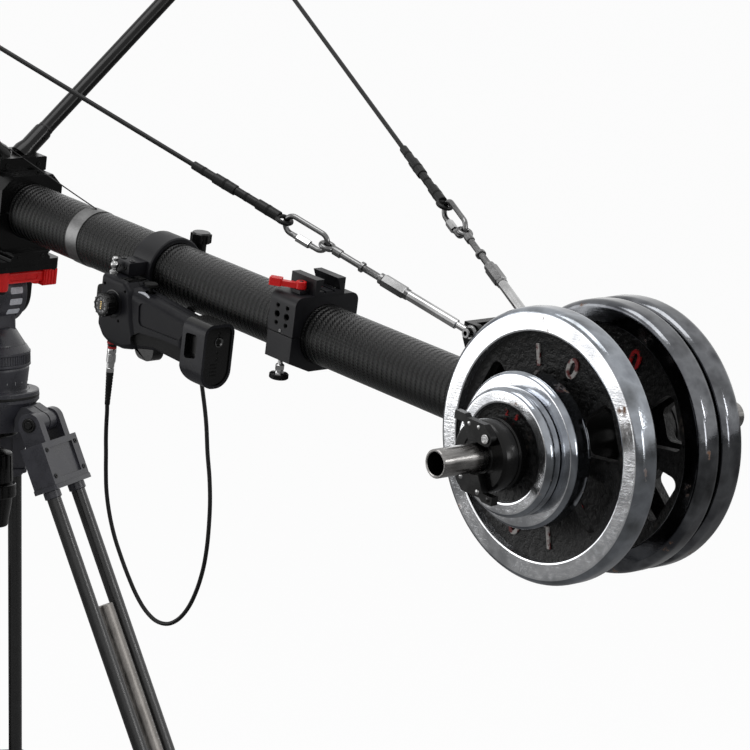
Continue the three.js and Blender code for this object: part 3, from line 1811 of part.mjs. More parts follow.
function addRailClamp() {
  const { half, corner } = railClamp;
  const start = railClampFront;
  const end = railClampBack;
  const bore = rod(
    vec(start - overrun, 0, axisZ),
    vec(end + overrun, 0, axisZ),
    boom.radius + clearance,
    sides.wide,
  );
  const upperShape = new THREE.Shape();
  upperShape.moveTo(-half, axisZ - railClamp.split / 2);
  upperShape.lineTo(half, axisZ - railClamp.split / 2);
  upperShape.absarc(half - corner, axisZ + railClamp.top - corner, corner, 0, Math.PI / 2);
  upperShape.absarc(corner - half, axisZ + railClamp.top - corner, corner, Math.PI / 2, Math.PI);
  const upperBlock = prismX(upperShape, start, end);
  const bed = block(
    start,
    end,
    railClamp.bedNear,
    railClamp.bedFar,
    axisZ + railClamp.top - fuse,
    axisZ + railClamp.bedTop,
  );
  const jaw = (edge, sign) => prismX(
    outline([
      [edge, axisZ + railClamp.bedTop - fuse],
      [edge + sign * railClamp.jawThick, axisZ + railClamp.bedTop - fuse],
      [edge + sign * (railClamp.jawThick - railClamp.jawLip), axisZ + railClamp.bedTop],
      [edge + sign * (railClamp.jawThick + railClamp.jawLip), axisZ + railClamp.jawTop],
      [edge, axisZ + railClamp.jawTop],
    ]),
    start,
    end,
  );
  const middle = (start + end) / 2;
  const holes = [-1, 1].flatMap((column) => [-1, 0, 1].map((row) => {
    const radius = row === 0 ? railClamp.holeLarge : railClamp.holeSmall;
    const x = middle + (column * railClamp.columnPitch) / 2;
    const z = axisZ + railClamp.holeRise + row * railClamp.holePitch;
    return rod(vec(x, -half - overrun, z), vec(x, -half + railClamp.holeDepth, z), radius, sides.small);
  }));
  const lever = railLever;
  const earTop = axisZ + railClamp.bedTop;
  const ear = block(
    leverPivotX - lever.earHalf,
    leverPivotX + lever.earHalf,
    lever.pivotY - lever.earHalf,
    railClamp.bedNear + fuse,
    earTop - lever.earDepth,
    earTop,
  );
  const leverPin = rod(
    vec(leverPivotX, lever.pivotY, earTop - fuse),
    vec(leverPivotX, lever.pivotY, earTop + lever.height + clearance),
    lever.pinRadius,
    sides.small,
  );
  const screwBore = rod(
    vec(middle, thumbScrew.y, axisZ + railClamp.bottom),
    vec(middle, thumbScrew.y, axisZ + thumbScrew.top + clearance),
    thumbScrew.radius + clearance,
    sides.small,
  );
  const solidUpper = join(
    upperBlock,
    bed,
    jaw(railClamp.bedNear, 1),
    jaw(railClamp.bedFar, -1),
    ear,
    leverPin,
  );
  piece(boomFrame, "rail_clamp_upper", cut(solidUpper, bore, holes, screwBore), finishes.blackMetal);

  const lowerBlock = prismX(
    outline([
      [-half, axisZ - (railClamp.split * 3) / 2],
      [-half, axisZ + railClamp.sideBottom],
      [-railClamp.flatHalf, axisZ + railClamp.bottom],
      [railClamp.flatHalf, axisZ + railClamp.bottom],
      [half, axisZ + railClamp.sideBottom],
      [half, axisZ - (railClamp.split * 3) / 2],
    ]),
    start,
    end,
  );
  piece(boomFrame, "rail_clamp_lower", cut(lowerBlock, bore, screwBore), finishes.blackMetal);

  const screwZ = (rise) => axisZ + rise;
  const screw = turned(
    [
      [0, thumbScrew.knobTop - thumbScrew.knobDepth],
      [thumbScrew.knobRadius, thumbScrew.knobTop - thumbScrew.knobDepth],
      [thumbScrew.knobRadius, thumbScrew.knobTop],
      [thumbScrew.collarRadius, thumbScrew.knobTop],
      [thumbScrew.collarRadius, thumbScrew.collarTop],
      [thumbScrew.radius, thumbScrew.collarTop],
      [thumbScrew.radius, thumbScrew.top],
      [0, thumbScrew.top],
    ],
    vec(middle, thumbScrew.y, screwZ(0)),
    vec(middle, thumbScrew.y, screwZ(fuse)),
    sides.small,
  );
  piece(boomFrame, "rail_thumb_screw", screw, finishes.steel);

  const heading = vec(Math.cos(lever.heading), Math.sin(lever.heading), 0);
  const sideways = vec(-heading.y, heading.x, 0);
  const pivot = vec(leverPivotX, lever.pivotY, earTop + clearance);
  const leverBar = (from, to, width) => {
    const corners = [[from, -width / 2], [to, -width / 2], [to, width / 2], [from, width / 2]];
    const points = corners.map(([a, b]) => {
      const at = pivot.clone().addScaledVector(heading, a).addScaledVector(sideways, b);
      return [at.x, at.y];
    });
    return prismZ(outline(points), pivot.z, pivot.z + lever.height - clearance);
  };
  const leverBarrel = rod(
    pivot,
    pivot.clone().add(vec(0, 0, lever.height - clearance)),
    lever.barrelRadius,
    sides.bend,
  );
  const leverBore = pinBore(
    pivot.clone().add(vec(0, 0, -overrun)),
    pivot.clone().add(vec(0, 0, lever.height + overrun)),
    lever.pinRadius,
    sides.small,
  );
  const leverSolid = cut(
    join(
      leverBarrel,
      leverBar(0, lever.length, lever.width),
      leverBar(lever.length - lever.gripLength, lever.length, lever.gripWidth),
    ),
    leverBore,
  );
  piece(boomFrame, "rail_lever", leverSolid, finishes.red);
}

function addNose() {
  const flangeBack = noseFace - clearance;
  const flangeFront = flangeBack - nose.flange;
  const plugEnd = turned(
    [
      [0, flangeFront],
      [boom.ringRadius, flangeFront],
      [boom.ringRadius, flangeBack],
      [spigotRadius, flangeBack],
      [spigotRadius, flangeBack + boom.spigotLength],
      [0, flangeBack + boom.spigotLength],
    ],
    vec(0, 0, axisZ),
    vec(fuse, 0, axisZ),
    sides.wide,
  );
  const cheeks = [-1, 1].map((side) => {
    const y0 = Math.min(side * nose.cheekInner, side * nose.cheekOuter);
    const y1 = Math.max(side * nose.cheekInner, side * nose.cheekOuter);
    const shape = new THREE.Shape();
    shape.moveTo(flangeFront + fuse, axisZ + nose.cheekHeight);
    shape.lineTo(nosePinX, axisZ + nose.cheekHeight);
    shape.absarc(nosePinX, axisZ, nose.cheekHeight, Math.PI / 2, Math.PI * 1.5);
    shape.lineTo(flangeFront + fuse, axisZ - nose.cheekHeight);
    return prismY(shape, y0, y1);
  });
  const pin = rod(
    vec(nosePinX, -nose.pinHalf, axisZ),
    vec(nosePinX, nose.pinHalf, axisZ),
    nose.pinRadius,
    sides.bend,
  );
  piece(boomFrame, "nose_block", join(plugEnd, cheeks, pin), finishes.blackMetal);
}

// Levelling bracket, yoke and camera stage, in a frame that hangs upright from the nose pin.
function addRemoteHead() {
  headFrame.position.set(nosePinX, 0, axisZ);
  headFrame.rotation.y = -layout.boomSlope;
  boomFrame.add(headFrame);
  const tongueHalf = nose.cheekInner - clearance;
  const barrel = rod(vec(0, -tongueHalf, 0), vec(0, tongueHalf, 0), bracket.barrelRadius, sides.mid);
  const arm = block(-bracket.armHalfX, bracket.armHalfX, -tongueHalf, tongueHalf, -bracket.armDrop - fuse, 0);
  const motorBottom = -bracket.armDrop - bracket.motorHeight;
  const motor = rod(vec(0, 0, motorBottom), vec(0, 0, -bracket.armDrop), bracket.motorRadius, sides.round);
  const spindle = rod(
    vec(0, 0, motorBottom - yoke.hubDepth),
    vec(0, 0, motorBottom + fuse),
    bracket.spindle,
    sides.mid,
  );
  const tongueBore = pinBore(
    vec(0, -nose.cheekInner - overrun, 0),
    vec(0, nose.cheekInner + overrun, 0),
    nose.pinRadius,
    sides.bend,
  );
  piece(
    headFrame,
    "levelling_bracket",
    join(cut(join(barrel, arm), tongueBore), motor, spindle),
    finishes.blackMetal,
  );

  const hubTop = motorBottom - clearance;
  const hubBottom = hubTop - yoke.hubDepth;
  const hub = rod(vec(0, 0, hubBottom), vec(0, 0, hubTop), yoke.hubRadius, sides.round);
  const spindleBore = pinBore(
    vec(0, 0, hubBottom + clearance),
    vec(0, 0, hubTop + overrun),
    bracket.spindle,
    sides.mid,
  );
  const beam = block(
    -yoke.beamHalf,
    yoke.beamHalf,
    -yoke.armOuter,
    yoke.beamHalf,
    hubBottom - yoke.beamDepth,
    hubBottom + fuse - clearance,
  );
  const axisDrop = hubBottom - yoke.axisDrop;
  const armInner = -yoke.armOuter + yoke.armThick;
  const sideArm = block(-yoke.beamHalf, yoke.beamHalf, -yoke.armOuter, armInner, axisDrop, hubBottom);
  const tiltMotor = rod(
    vec(0, -yoke.armOuter, axisDrop),
    vec(0, armInner + yoke.motorDepth - yoke.armThick, axisDrop),
    yoke.motorRadius,
    sides.round,
  );
  const motorFace = armInner + yoke.motorDepth - yoke.armThick;
  const axle = rod(
    vec(0, motorFace - fuse, axisDrop),
    vec(0, motorFace + yoke.axleLength, axisDrop),
    yoke.axleRadius,
    sides.mid,
  );
  const yokeSolid = join(cut(join(hub, beam), spindleBore), sideArm, tiltMotor, axle);
  piece(headFrame, "head_yoke", yokeSolid, finishes.blackMetal);

  const stageFace = motorFace + clearance;
  const stageHub = rod(
    vec(0, stageFace, axisDrop),
    vec(0, stageFace + stage.hubDepth, axisDrop),
    stage.hubRadius,
    sides.round,
  );
  const axleBore = pinBore(
    vec(0, stageFace - overrun, axisDrop),
    vec(0, stageFace + stage.hubDepth - clearance, axisDrop),
    yoke.axleRadius,
    sides.mid,
  );
  const hanger = block(
    -stage.armHalf,
    stage.armHalf,
    stageFace,
    stageFace + stage.hubDepth,
    axisDrop - stage.baseDrop - stage.baseThick,
    axisDrop,
  );
  const base = block(
    -stage.baseHalfX,
    stage.baseHalfX,
    stageFace,
    stage.baseFar,
    axisDrop - stage.baseDrop - stage.baseThick,
    axisDrop - stage.baseDrop,
  );
  piece(headFrame, "camera_stage", join(cut(join(stageHub, hanger), axleBore), base), finishes.blackMetal);
}

// How far the crane reaches behind and in front of its column, and to both sides, at rest.
const slopeCos = Math.cos(layout.boomSlope);
const slopeSin = Math.sin(layout.boomSlope);
const rearReach = layout.rearReach * slopeCos + layout.boomAxisRise * slopeSin + discs.large.radius;
const frontReach = -nosePinX * slopeCos - layout.boomAxisRise * slopeSin + stage.baseHalfX;
const legRun = (layout.crownHeight - crown.hingeDrop - leg.footRise) * Math.tan(layout.legSplay);
const footReachY = Math.max(
  ...legAngles().map((angle) => -Math.sin(angle)),
) * (crown.hingeRadius + legRun) + leg.footRadius;
const tipReachY = mast.spread + mast.ballRadius;
const column = vec((frontReach - rearReach) / 2, (footReachY - tipReachY) / 2, layout.crownHeight);

addBoom();
addTail();
addWeights(-1, "near", [["large", "large_disc"], ["medium", "medium_disc"], ["little", "small_disc"]]);
addWeights(1, "far", [["large", "inner_disc"], ["large", "outer_disc"]]);
addStays(-1, "near");
addStays(1, "far");
addCradle();
addPlatform();
addHead();
addCrown();
addLegs();
addGripClamp();
addGrip();
addCable();
addRailClamp();
addNose();
addRemoteHead();

tripodFrame.position.copy(column);
boomFrame.position.set(0, 0, layout.tiltAxisRise);
boomFrame.rotation.y = layout.boomSlope;
tripodFrame.add(boomFrame);
crane.add(tripodFrame);

export default crane;
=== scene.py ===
# Camera jib crane: finishes, finer pieces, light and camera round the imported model.
# Sizes are in millimetres in the frames below and in metres once a piece is placed.
import math

import bmesh
import bpy
from mathutils import Matrix, Vector


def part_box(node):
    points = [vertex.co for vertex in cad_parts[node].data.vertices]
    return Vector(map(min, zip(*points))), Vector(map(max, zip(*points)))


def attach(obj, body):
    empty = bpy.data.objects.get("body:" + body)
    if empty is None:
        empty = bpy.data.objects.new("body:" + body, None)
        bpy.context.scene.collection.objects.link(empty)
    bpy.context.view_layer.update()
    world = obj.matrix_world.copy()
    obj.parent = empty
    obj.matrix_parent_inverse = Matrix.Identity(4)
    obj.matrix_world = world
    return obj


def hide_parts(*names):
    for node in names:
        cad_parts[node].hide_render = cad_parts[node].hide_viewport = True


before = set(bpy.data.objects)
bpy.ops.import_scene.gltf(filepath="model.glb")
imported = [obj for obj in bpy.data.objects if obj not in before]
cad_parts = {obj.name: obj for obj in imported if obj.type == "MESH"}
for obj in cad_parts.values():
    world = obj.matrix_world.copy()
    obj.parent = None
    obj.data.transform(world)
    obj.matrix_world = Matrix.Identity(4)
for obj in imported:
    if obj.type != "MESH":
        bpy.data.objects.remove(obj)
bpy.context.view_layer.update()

MM = 0.001
MICRON = 0.000001
TAU = 2 * math.pi
SIDES = (-1, 1)
ORIGIN, ALONG_X, ALONG_Y, UP = (0, 0, 0), (1, 0, 0), (0, 1, 0), (0, 0, 1)

# Frames. CROWN is upright over the floor, BOOM turns on the tilt axis, TUBE is BOOM at the boom's
# centreline (x towards the weights, z over the centreline) and HEAD hangs from the nose pin.
SLOPE = math.radians(10.2)
TILT_AXIS = 126
TUBE_RISE = 120
REAR_REACH = 1025
NOSE_REACH = -2207.9
BASE_RISE = 0.030
low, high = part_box("head_base")
COLUMN = Vector(((low.x + high.x) / 2, (low.y + high.y) / 2, high.z - BASE_RISE))
LEG_TURNS = (25.4, 145.4, 265.4)
LEG_SPLAY = math.radians(20.5)
HINGE_RADIUS = 72
HINGE_DROP = 38


def shifted(x, y, z):
    return Matrix.Translation((x * MM, y * MM, z * MM))


METRES = Matrix.Scale(MM, 4)
CROWN_PLACE = Matrix.Translation(COLUMN)
BOOM_PLACE = CROWN_PLACE @ shifted(0, 0, TILT_AXIS) @ Matrix.Rotation(SLOPE, 4, "Y")
TUBE_PLACE = BOOM_PLACE @ shifted(0, 0, TUBE_RISE)
HEAD_PLACE = TUBE_PLACE @ shifted(NOSE_REACH, 0, 0) @ Matrix.Rotation(-SLOPE, 4, "Y")
CROWN, BOOM, TUBE, HEAD = (p @ METRES for p in (CROWN_PLACE, BOOM_PLACE, TUBE_PLACE, HEAD_PLACE))
BAR_CENTRE = TUBE @ Vector((REAR_REACH, 0, 0))


def leg_place(turn):
    """From a leg's hinge: x outwards, y along the hinge pin, z up along the leg."""
    around = Matrix.Rotation(math.radians(turn), 4, "Z")
    splay = Matrix.Rotation(-LEG_SPLAY, 4, "Y")
    return CROWN_PLACE @ around @ shifted(HINGE_RADIUS, 0, -HINGE_DROP) @ splay @ METRES


def linked(name, data):
    """An object of the scene that shows the data."""
    made = bpy.data.objects.new(name, data)
    bpy.context.scene.collection.objects.link(made)
    return made


def settled(made):
    """The mesh that an object's modifiers make of it."""
    return bpy.data.meshes.new_from_object(
        made.evaluated_get(bpy.context.evaluated_depsgraph_get())
    )


# The camera: a long lens that looks a little down along the boom from behind the weights.
LENS_LENGTH = 164.45
CAMERA_FROM_BAR = Vector((2.44264, -2.53514, 0.59860))
CAMERA_DIP, CAMERA_TURN = 0.1496, 0.82694


def add_camera():
    lens = bpy.data.cameras.new("camera")
    lens.sensor_width = 36
    lens.lens = LENS_LENGTH
    lens.clip_end = 200
    camera = linked("camera", lens)
    camera.location = BAR_CENTRE + CAMERA_FROM_BAR
    camera.rotation_euler = (math.pi / 2 - CAMERA_DIP, 0, CAMERA_TURN)
    bpy.context.scene.camera = camera


add_camera()


def wired(tree, made, inputs, settings):
    """Sets a new node's options and gives each of its inputs a link or a value."""
    for key, value in settings.items():
        setattr(made, key, value)
    for key, value in (inputs or {}).items():
        if isinstance(value, bpy.types.NodeSocket):
            tree.links.new(value, made.inputs[key])
        else:
            made.inputs[key].default_value = value
    return made


# Finishes.
BOOM_GIRTH = 216.832
TOWS_ROUND = 56
PATCH_SCALE = 38


class Finish:
    """A finish: the shader's own values, and nodes for what varies over the surface."""

    def __init__(self, name, **values):
        self.material = bpy.data.materials.new(name)
        self.material.use_nodes = True
        self.tree = self.material.node_tree
        self.shader = self.tree.nodes["Principled BSDF"]
        for socket, value in values.items():
            self.shader.inputs[socket.replace("_", " ")].default_value = value
        self.place = self.node("TexCoord").outputs["Object"]

    def node(self, kind, inputs=None, **settings):
        made = self.tree.nodes.new("ShaderNode" + kind)
        return wired(self.tree, made, inputs, settings)

    def noise(self, scale, detail=3.0, stretch=None):
        place = self.place
        if stretch:
            place = self.node("Mapping", {"Vector": place, "Scale": stretch}).outputs[0]
        inputs = {"Vector": place, "Scale": scale, "Detail": detail}
        return self.node("TexNoise", inputs).outputs[0]

    def maths(self, operation, a, b=0.0):
        return self.node("Math", {0: a, 1: b}, operation=operation).outputs[0]

    def plus(self, a, b):
        return self.maths("ADD", a, b)

    def less(self, a, b):
        return self.maths("SUBTRACT", a, b)

    def times(self, a, b):
        return self.maths("MULTIPLY", a, b)

    def spread(self, value, low_in, high_in, low_out, high_out):
        inputs = {0: value, 1: low_in, 2: high_in, 3: low_out, 4: high_out}
        return self.node("MapRange", inputs).outputs[0]

    def tones(self, value, *stops):
        made = self.node("ValToRGB", {"Fac": value})
        ramp = made.color_ramp
        while len(ramp.elements) < len(stops):
            ramp.elements.new(1.0)
        for element, (spot, colour) in zip(ramp.elements, stops):
            element.position = spot
            element.color = (*colour, 1)
        return made.outputs[0]

    def over(self, share, under, top):
        """Two colours, the second where the share is 1."""
        inputs = {0: share, 6: under, 7: (*top, 1)}
        return self.node("Mix", inputs, data_type="RGBA").outputs[2]

    def relief(self, height, microns, under=None):
        inputs = {"Height": height, "Distance": microns * MICRON, "Strength": 1.0}
        if under:
            inputs["Normal"] = under
        return self.node("Bump", inputs).outputs[0]

    def feed(self, **sockets):
        for socket, value in sockets.items():
            self.tree.links.new(value, self.shader.inputs[socket.replace("_", " ")])
        return self


def tone(value, warm=0.0):
    """A colour as it is given, or the grey of a number."""
    if isinstance(value, tuple):
        return value
    return (value * (1 + warm), value, value * (1 - warm))


def plain_finish(name, dark, light, rough, grain, microns, shine=0.5, stretch=None, metallic=0.0):
    """Two close tones in patches, a roughness that varies with them, and a fine grain in relief."""
    made = Finish(name, Specular_IOR_Level=shine, Metallic=metallic)
    fine = made.noise(grain, 3, stretch)
    both = made.plus(made.times(made.noise(PATCH_SCALE, 4), 0.6), made.times(fine, 0.4))
    return made.feed(
        Base_Color=made.tones(both, (0.35, tone(dark)), (0.65, tone(light))),
        Roughness=made.spread(both, 0.35, 0.65, *rough),
        Normal=made.relief(fine, microns),
    )


def steel(name, dark, light, rough, grain=700, microns=20, stretch=None, warm=0.0):
    tones = (tone(dark, warm), tone(light, warm))
    return plain_finish(name, *tones, rough, grain, microns, stretch=stretch, metallic=1.0)


def carbon_finish():
    """Twill of flat tows, two over and two under, laid slantwise with its ribs round the tube."""
    made = Finish("carbon_twill", Specular_IOR_Level=0.24)
    surface = made.node("UVMap", uv_map="wrap").outputs[0]
    inputs = {0: surface, 3: TOWS_ROUND / (BOOM_GIRTH * MM)}
    cells = made.node("VectorMath", inputs, operation="SCALE").outputs[0]
    axes = made.node("SeparateXYZ", {0: cells})
    warp, weft = (sign(axes.outputs[1], axes.outputs[0]) for sign in (made.plus, made.less))
    columns, rows = made.maths("FLOOR", warp), made.maths("FLOOR", weft)
    place_in_twill = made.maths("FLOORED_MODULO", made.plus(columns, rows), 4.0)
    over = made.maths("LESS_THAN", place_in_twill, 1.5)
    crowns = []
    for coordinate, whole in ((warp, columns), (weft, rows)):
        share = made.less(made.less(coordinate, whole), 0.5)
        crowns.append(made.less(1.0, made.times(made.times(share, share), 3.4)))
    below = made.times(made.less(1.0, over), crowns[1])
    height = made.plus(made.times(over, crowns[0]), below)
    ridge = made.maths("SINE", made.times(made.plus(warp, weft), TAU / 4))
    fibre = made.noise(2600, 2)
    patches = made.noise(9, 3)
    # Base colour of the weave: lighter on the crowns of the tows and darker in the dips between
    # them and on the tows that lie crosswise, painted highlight and painted shade of the weave; the
    # patches vary at random.
    shade = made.times(height, made.spread(over, 0, 1, 0.4, 1.0))
    lit = made.times(shade, made.spread(patches, 0.3, 0.7, 0.8, 1.05))
    base_rough = made.spread(over, 0, 1, 0.30, 0.16)
    weave = made.relief(height, 420, made.relief(ridge, 300))
    stops = ((0.0, tone(0.001)), (0.6, tone(0.002)), (1.0, tone(0.005, 0.03)))
    return made.feed(
        Base_Color=made.tones(lit, *stops),
        Roughness=made.plus(base_rough, made.spread(patches, 0.3, 0.7, -0.03, 0.05)),
        Normal=made.relief(fibre, 10, weave),
    )


def chrome_finish(name, dark, light, smoke, rust_share=0.66):
    """Worn plating: cloudy patches, hairline scratches, pits and a few rust marks."""
    made = Finish(name, Metallic=1.0)
    clouds = made.noise(22, 6)
    film = made.noise(160, 5)
    sparse = made.spread(made.noise(34, 4), rust_share, rust_share + 0.05, 0, 1)
    rust = made.times(sparse, made.spread(film, 0.45, 0.62, 0, 1))
    cloudy = made.spread(clouds, 0.35, 0.7, 0.05, 0.15)
    rough = made.plus(cloudy, made.spread(film, 0.4, 0.7, 0.0, 0.08))
    scratches = made.relief(made.noise(240, 2, (0.15, 1.0, 3.0)), 40)
    plating = made.tones(clouds, (0.32, dark), (0.5, light), (0.72, smoke))
    return made.feed(
        Base_Color=made.over(rust, plating, (0.16, 0.075, 0.035)),
        Metallic=made.spread(rust, 0, 1, 1.0, 0.2),
        Roughness=made.plus(rough, made.times(rust, 0.5)),
        Normal=made.relief(made.noise(520, 2), 50, scratches),
    )


def casting_finish():
    """Black crinkle enamel over a rough casting, rubbed to grey and rust in a few places."""
    made = Finish("black_casting", Specular_IOR_Level=0.2)
    lumps = made.noise(170, 5)
    crinkle = made.node("TexVoronoi", {"Vector": made.place, "Scale": 620.0}).outputs[0]
    rubbed = made.spread(made.noise(26, 5), 0.60, 0.74, 0, 1)
    worn = made.times(rubbed, made.spread(lumps, 0.45, 0.6, 0, 1))
    coat = made.tones(lumps, (0.3, tone(0.003)), (0.7, tone(0.012)))
    return made.feed(
        Base_Color=made.over(worn, coat, (0.07, 0.055, 0.045)),
        Roughness=made.spread(lumps, 0.3, 0.7, 0.26, 0.5),
        Normal=made.relief(crinkle, 300, made.relief(lumps, 2200)),
    )


def worn_paint(name, bright, worn, share):
    """Brush-laid paint on cast characters, rubbed through on its high spots."""
    made = Finish(name, Specular_IOR_Level=0.25)
    lumps = made.noise(210, 5)
    rubbed = made.spread(made.noise(120, 4), share, share + 0.08, 0, 1)
    coat = made.tones(lumps, (0.3, tuple(0.6 * c for c in bright)), (0.7, bright))
    return made.feed(
        Base_Color=made.over(rubbed, coat, worn),
        Roughness=made.spread(lumps, 0.3, 0.7, 0.35, 0.6),
        Normal=made.relief(lumps, 600),
    )


carbon = carbon_finish()
casting = casting_finish()
# Beside the worn chrome, two darker copies of the same plating: the rim chrome is painted shade on
# the near discs' rounded rims, standing for the dark reflections there, and the far chrome is
# painted shade on the far discs.
chrome, painted_shade_rim_chrome, painted_shade_far_chrome = (
    chrome_finish(*values)
    for values in (
        ("worn_chrome", (0.50, 0.51, 0.53), (0.84, 0.85, 0.87), (0.42, 0.43, 0.45), 0.63),
        ("painted_shade_rim_chrome", (0.13, 0.14, 0.16), (0.30, 0.32, 0.35), (0.10, 0.105, 0.11)),
        ("painted_shade_far_chrome", (0.05, 0.052, 0.058), (0.15, 0.155, 0.165), (0.035, 0.036, 0.038)),
    )
)
digit_red = worn_paint("digit_red", (0.36, 0.012, 0.014), (0.02, 0.015, 0.014), 0.50)
digit_pale = worn_paint("digit_pale", (0.42, 0.40, 0.38), (0.10, 0.02, 0.02), 0.48)

# Steels: dark and light tone, range of roughness, scale and depth of the grain.
ring_metal = steel("brushed_ring", 0.10, 0.20, (0.30, 0.44), 900, 30, (0.3, 1, 1))
polished = steel("polished_steel", 0.30, 0.52, (0.06, 0.16))
bar_steel = steel("bar_steel", 0.16, 0.34, (0.18, 0.32), 500, 20, (1, 0.1, 1), 0.03)
rod_steel = steel("rod_steel", 0.09, 0.20, (0.16, 0.28), 600)
cam_steel = steel("cam_steel", 0.014, 0.036, (0.30, 0.46), 900, 30)
leg_alloy = steel("leg_alloy", 0.14, 0.24, (0.34, 0.46), 800, 20, (1, 1, 0.1), 0.06)

# Coats, plastics and rubber: the same, and the shine.
black_metal = plain_finish("black_anodised", 0.0012, 0.003, (0.16, 0.28), 1500, 20, 0.22)
tube_black = plain_finish("tube_black", 0.006, 0.012, (0.22, 0.34), 900, 20, 0.6, (1, 1, 0.1))
black_plastic = plain_finish("black_plastic", 0.002, 0.005, (0.16, 0.30), 1300, 30, 0.3)
grip_texture = plain_finish("grip_texture", 0.004, 0.009, (0.5, 0.66), 2400, 250, 0.14)
rubber = plain_finish("black_rubber", 0.003, 0.008, (0.50, 0.68), 1100, 120, 0.12)
jacket = plain_finish("wire_jacket", 0.003, 0.007, (0.32, 0.48), 1400, 40, 0.2)
pale_mark = plain_finish("pale_mark", 0.42, 0.62, (0.40, 0.55), 900, 20)
satin_metal, enamel, red_metal, shell_plastic, cap_grey, glow_strip, red_seal = (
    plain_finish(*values)
    for values in (
        ("black_satin", (0.005, 0.005, 0.006), (0.010, 0.010, 0.012), (0.34, 0.5), 1200, 40, 0.22),
        ("grey_enamel", (0.018, 0.018, 0.023), (0.036, 0.036, 0.045), (0.22, 0.40), 900, 50),
        ("red_anodised", (0.46, 0.006, 0.006), (0.72, 0.014, 0.014), (0.24, 0.38), 900, 30, 0.25),
        ("grey_shell", (0.006, 0.006, 0.0075), (0.011, 0.011, 0.013), (0.28, 0.42), 1900, 40, 0.1),
        ("cap_grey", (0.012, 0.012, 0.014), (0.022, 0.022, 0.025), (0.22, 0.34), 1500, 30, 0.14),
        ("clear_strip", (0.30, 0.31, 0.34), (0.5, 0.51, 0.54), (0.2, 0.34), 700, 30),
        ("red_seal", (0.30, 0.01, 0.012), (0.44, 0.02, 0.02), (0.3, 0.45), 900, 40, 0.3),
    )
)
gold = plain_finish(
    "gilt_contact", (0.50, 0.36, 0.14), (0.70, 0.52, 0.24), (0.20, 0.32), 900, 20, metallic=1.0
)


# Shapes.
BEVEL_FROM, SHARP_FROM = math.radians(32), math.radians(38)
MERGE_WITHIN = 0.001
# The share of an edge that the rounding of one of its ends may take.
MOST_OF_EDGE = 0.49


def turns(count, start=0.0):
    return [start + TAU * k / count for k in range(count)]


def given_each(size, count):
    """One number for each of the points, from a list or from a single number."""
    return size if hasattr(size, "__len__") else [size] * count


